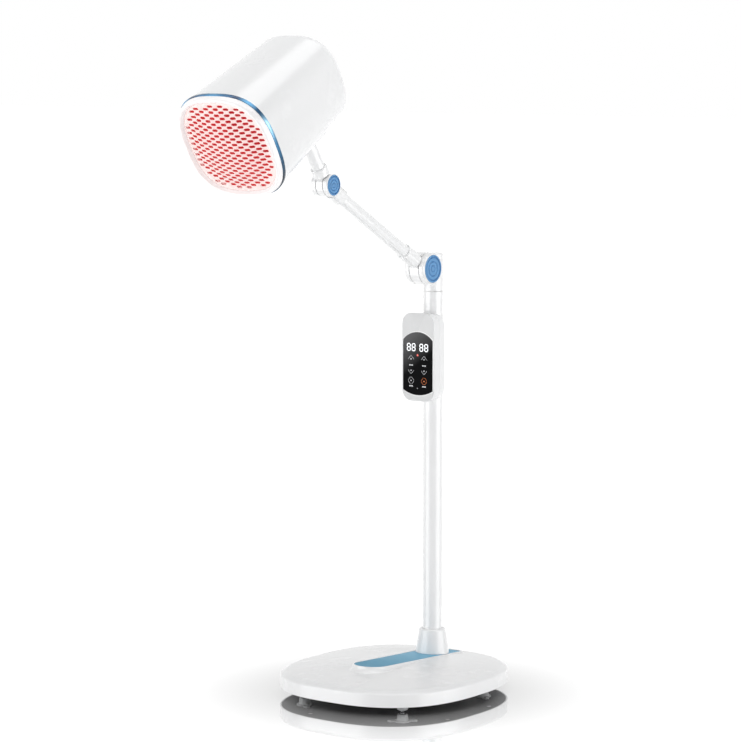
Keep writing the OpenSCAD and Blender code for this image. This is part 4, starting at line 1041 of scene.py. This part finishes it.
def keyMarks(p):
    white, orange = [], []
    t = np.linspace(-1, 1, 15)
    n = p["power"]
    wide, high = p["bar"]
    bar = np.array([(-wide, -high), (wide, -high), (wide, high), (-wide, high)]) * mm
    for y, marks in zip(p["keyY"], (white, orange)):
        cy = y * mm
        for z, way in ((p["upZ"], 1), (p["downZ"], -1)):   # rounded roof with a dot between its feet
            roof = p["roofHigh"] * (1 - np.abs(t) ** n)
            path = np.stack([cy + p["roofHalf"] * t, z * mm + way * roof], -1)
            white.append(bandShape(path, p["line"]))
            white.append(discShape(cy, z * mm + way * p["dotLift"], p["dot"]))
        for z in p["labelZ"]:   # plain bars in the places of the labels
            for k in (-1, 0, 1):
                white.append(bar + (cy + k * p["barPitch"], z * mm))
        across, up = p["diamond"]
        for q in range(4):   # rounded diamond |y/across|^n + |z/up|^n = 1, in four arcs
            a = np.linspace(0.06, 0.94, 11) * np.pi / 2 + q * np.pi / 2
            r = (np.abs(np.cos(a) / across) ** n + np.abs(np.sin(a) / up) ** n) ** (-1 / n) * mm
            path = np.stack([cy + r * np.cos(a), p["keyZ"] * mm + r * np.sin(a)], -1)
            marks.append(bandShape(path, p["line"]))
        marks.append(discShape(cy, p["keyZ"] * mm, p["keyDot"]))
    t = np.linspace(-1, 1, 9)
    path = np.stack([p["ledY"] * mm + p["veeHalf"] * t, p["veeZ"] * mm + p["veeHigh"] * np.abs(t)], -1)
    white.append(bandShape(path, p["veeLine"]))
    return white, orange


def haloPath(p):
    # open circle round the status lamp
    t = np.linspace(0, 1.98 * np.pi, 25)
    return np.stack([p["ledY"] * mm + p["halo"] * np.cos(t), p["ledZ"] * mm + p["halo"] * np.sin(t)], -1)


digits = [bar for y in panel["digitY"] for bar in segmentShapes(panel, y * mm, panel["digitZ"] * mm)]
whiteMarks, orangeMarks = keyMarks(panel)
flatMarks("display_digits", digits, glowMaterial("digitGlow", (0.9, 0.92, 0.95, 1), 0.75))
flatMarks("key_marks", whiteMarks, glowMaterial("keyInk", (0.6, 0.61, 0.63, 1), 0.3))
flatMarks("heat_key", orangeMarks, glowMaterial("orangeInk", (0.62, 0.15, 0.02, 1), 0.42))
flatMarks("status_lamp", [discShape(panel["ledY"] * mm, panel["ledZ"] * mm, panel["lamp"])],
          glowMaterial("lampGlow", (0.9, 0.12, 0.08, 1), 1.0))
flatMarks("lamp_halo", [bandShape(haloPath(panel), panel["haloWide"])],
          glowMaterial("haloGlow", (0.25, 0.02, 0.015, 1), 0.5))
print("marks made")


studio = {
    "floor": 60.0, "world": 0.16, "gloss": 0.88, "polish": 0.02,
    # the glow left out near the lamp is painted shade on the floor round its base
    "glowFrom": 0.165, "glowTo": 0.42,   # metres from the origin, between which the glow grows
    "near": 0.0, "far": 0.42,            # its strength at each of them
    "lamps": (                           # name, place, aim, size, power
        ("leftBox", (2.8, -1.55, 1.1), (0, 0, 1.1), (3.0, 2.18), 50.0),
        ("rightBox", (-0.72, 3.12, 1.1), (0, 0, 1.1), (3.0, 2.18), 50.0),
        ("top", (0.2, 0.2, 3.4), (0, 0, 0.6), (3.0, 3.0), 50.0)),
}


def seenRay(tree):
    # 1 for camera, mirror and see-through rays
    path = tree.nodes.new("ShaderNodeLightPath")
    return mathNode(tree, "ADD", path.outputs["Is Camera Ray"],
                    mathNode(tree, "ADD", path.outputs["Is Glossy Ray"], path.outputs["Is Transmission Ray"]))


def makeFloor(s):
    # polished floor of mirror and matt, with a glow away from the lamp that only seen rays pick up; leaving
    # the glow out near the lamp is painted shade round its base
    h = s["floor"] / 2
    mesh = bpy.data.meshes.new("floor")
    mesh.from_pydata([(-h, -h, 0), (h, -h, 0), (h, h, 0), (-h, h, 0)], [], [(0, 1, 2, 3)])
    floor = bpy.data.objects.new("floor", mesh)
    bpy.context.scene.collection.objects.link(floor)
    mat = bpy.data.materials.new("floorGloss")
    mat.use_nodes = True
    tree = mat.node_tree
    tree.nodes.clear()
    out = tree.nodes.new("ShaderNodeOutputMaterial")
    matt = tree.nodes.new("ShaderNodeBsdfDiffuse")
    matt.inputs["Color"].default_value = (0.8, 0.8, 0.8, 1)
    gloss = tree.nodes.new("ShaderNodeBsdfGlossy")
    gloss.inputs["Roughness"].default_value = s["polish"]
    glow = tree.nodes.new("ShaderNodeEmission")
    glow.inputs["Color"].default_value = (1, 1, 1, 1)
    seen = seenRay(tree)
    coords = tree.nodes.new("ShaderNodeTexCoord").outputs["Object"]
    away = tree.nodes.new("ShaderNodeVectorMath")
    away.operation = "LENGTH"
    tree.links.new(coords, away.inputs[0])
    # painted light and shade: the glow grows away from the lamp, so reflection and shadow fade out with
    # distance and stay dark near the base
    level = rangeNode(tree, away.outputs["Value"], s["glowFrom"], s["glowTo"], s["near"], s["far"])
    strength = mathNode(tree, "MULTIPLY", mathNode(tree, "MINIMUM", seen, 1.0), level)
    tree.links.new(strength, glow.inputs["Strength"])
    both = tree.nodes.new("ShaderNodeMixShader")
    both.inputs[0].default_value = s["gloss"]
    tree.links.new(matt.outputs[0], both.inputs[1])
    tree.links.new(gloss.outputs[0], both.inputs[2])
    add = tree.nodes.new("ShaderNodeAddShader")
    tree.links.new(both.outputs[0], add.inputs[0])
    tree.links.new(glow.outputs[0], add.inputs[1])
    tree.links.new(add.outputs[0], out.inputs["Surface"])
    mesh.materials.append(mat)


def makeWorld(s):
    world = bpy.data.worlds.new("studio")
    bpy.context.scene.world = world
    world.use_nodes = True
    tree = world.node_tree
    shade = tree.nodes["Background"]
    seen = seenRay(tree)
    tree.links.new(rangeNode(tree, seen, 0.0, 1.0, s["world"], 1.0), shade.inputs["Strength"])
    shade.inputs["Color"].default_value = (1, 1, 1, 1)


def areaLight(name, place, aim, size, power):
    data = bpy.data.lights.new(name, "AREA")
    data.shape, data.size, data.size_y, data.energy = "RECTANGLE", size[0], size[1], power
    lamp = bpy.data.objects.new(name, data)
    bpy.context.scene.collection.objects.link(lamp)
    lamp.location = place
    lamp.rotation_mode = "QUATERNION"
    lamp.rotation_quaternion = (Vector(aim) - Vector(place)).to_track_quat("-Z", "Y")


makeFloor(studio)
makeWorld(studio)
for lamp in studio["lamps"]:
    areaLight(*lamp)
print("studio lit")
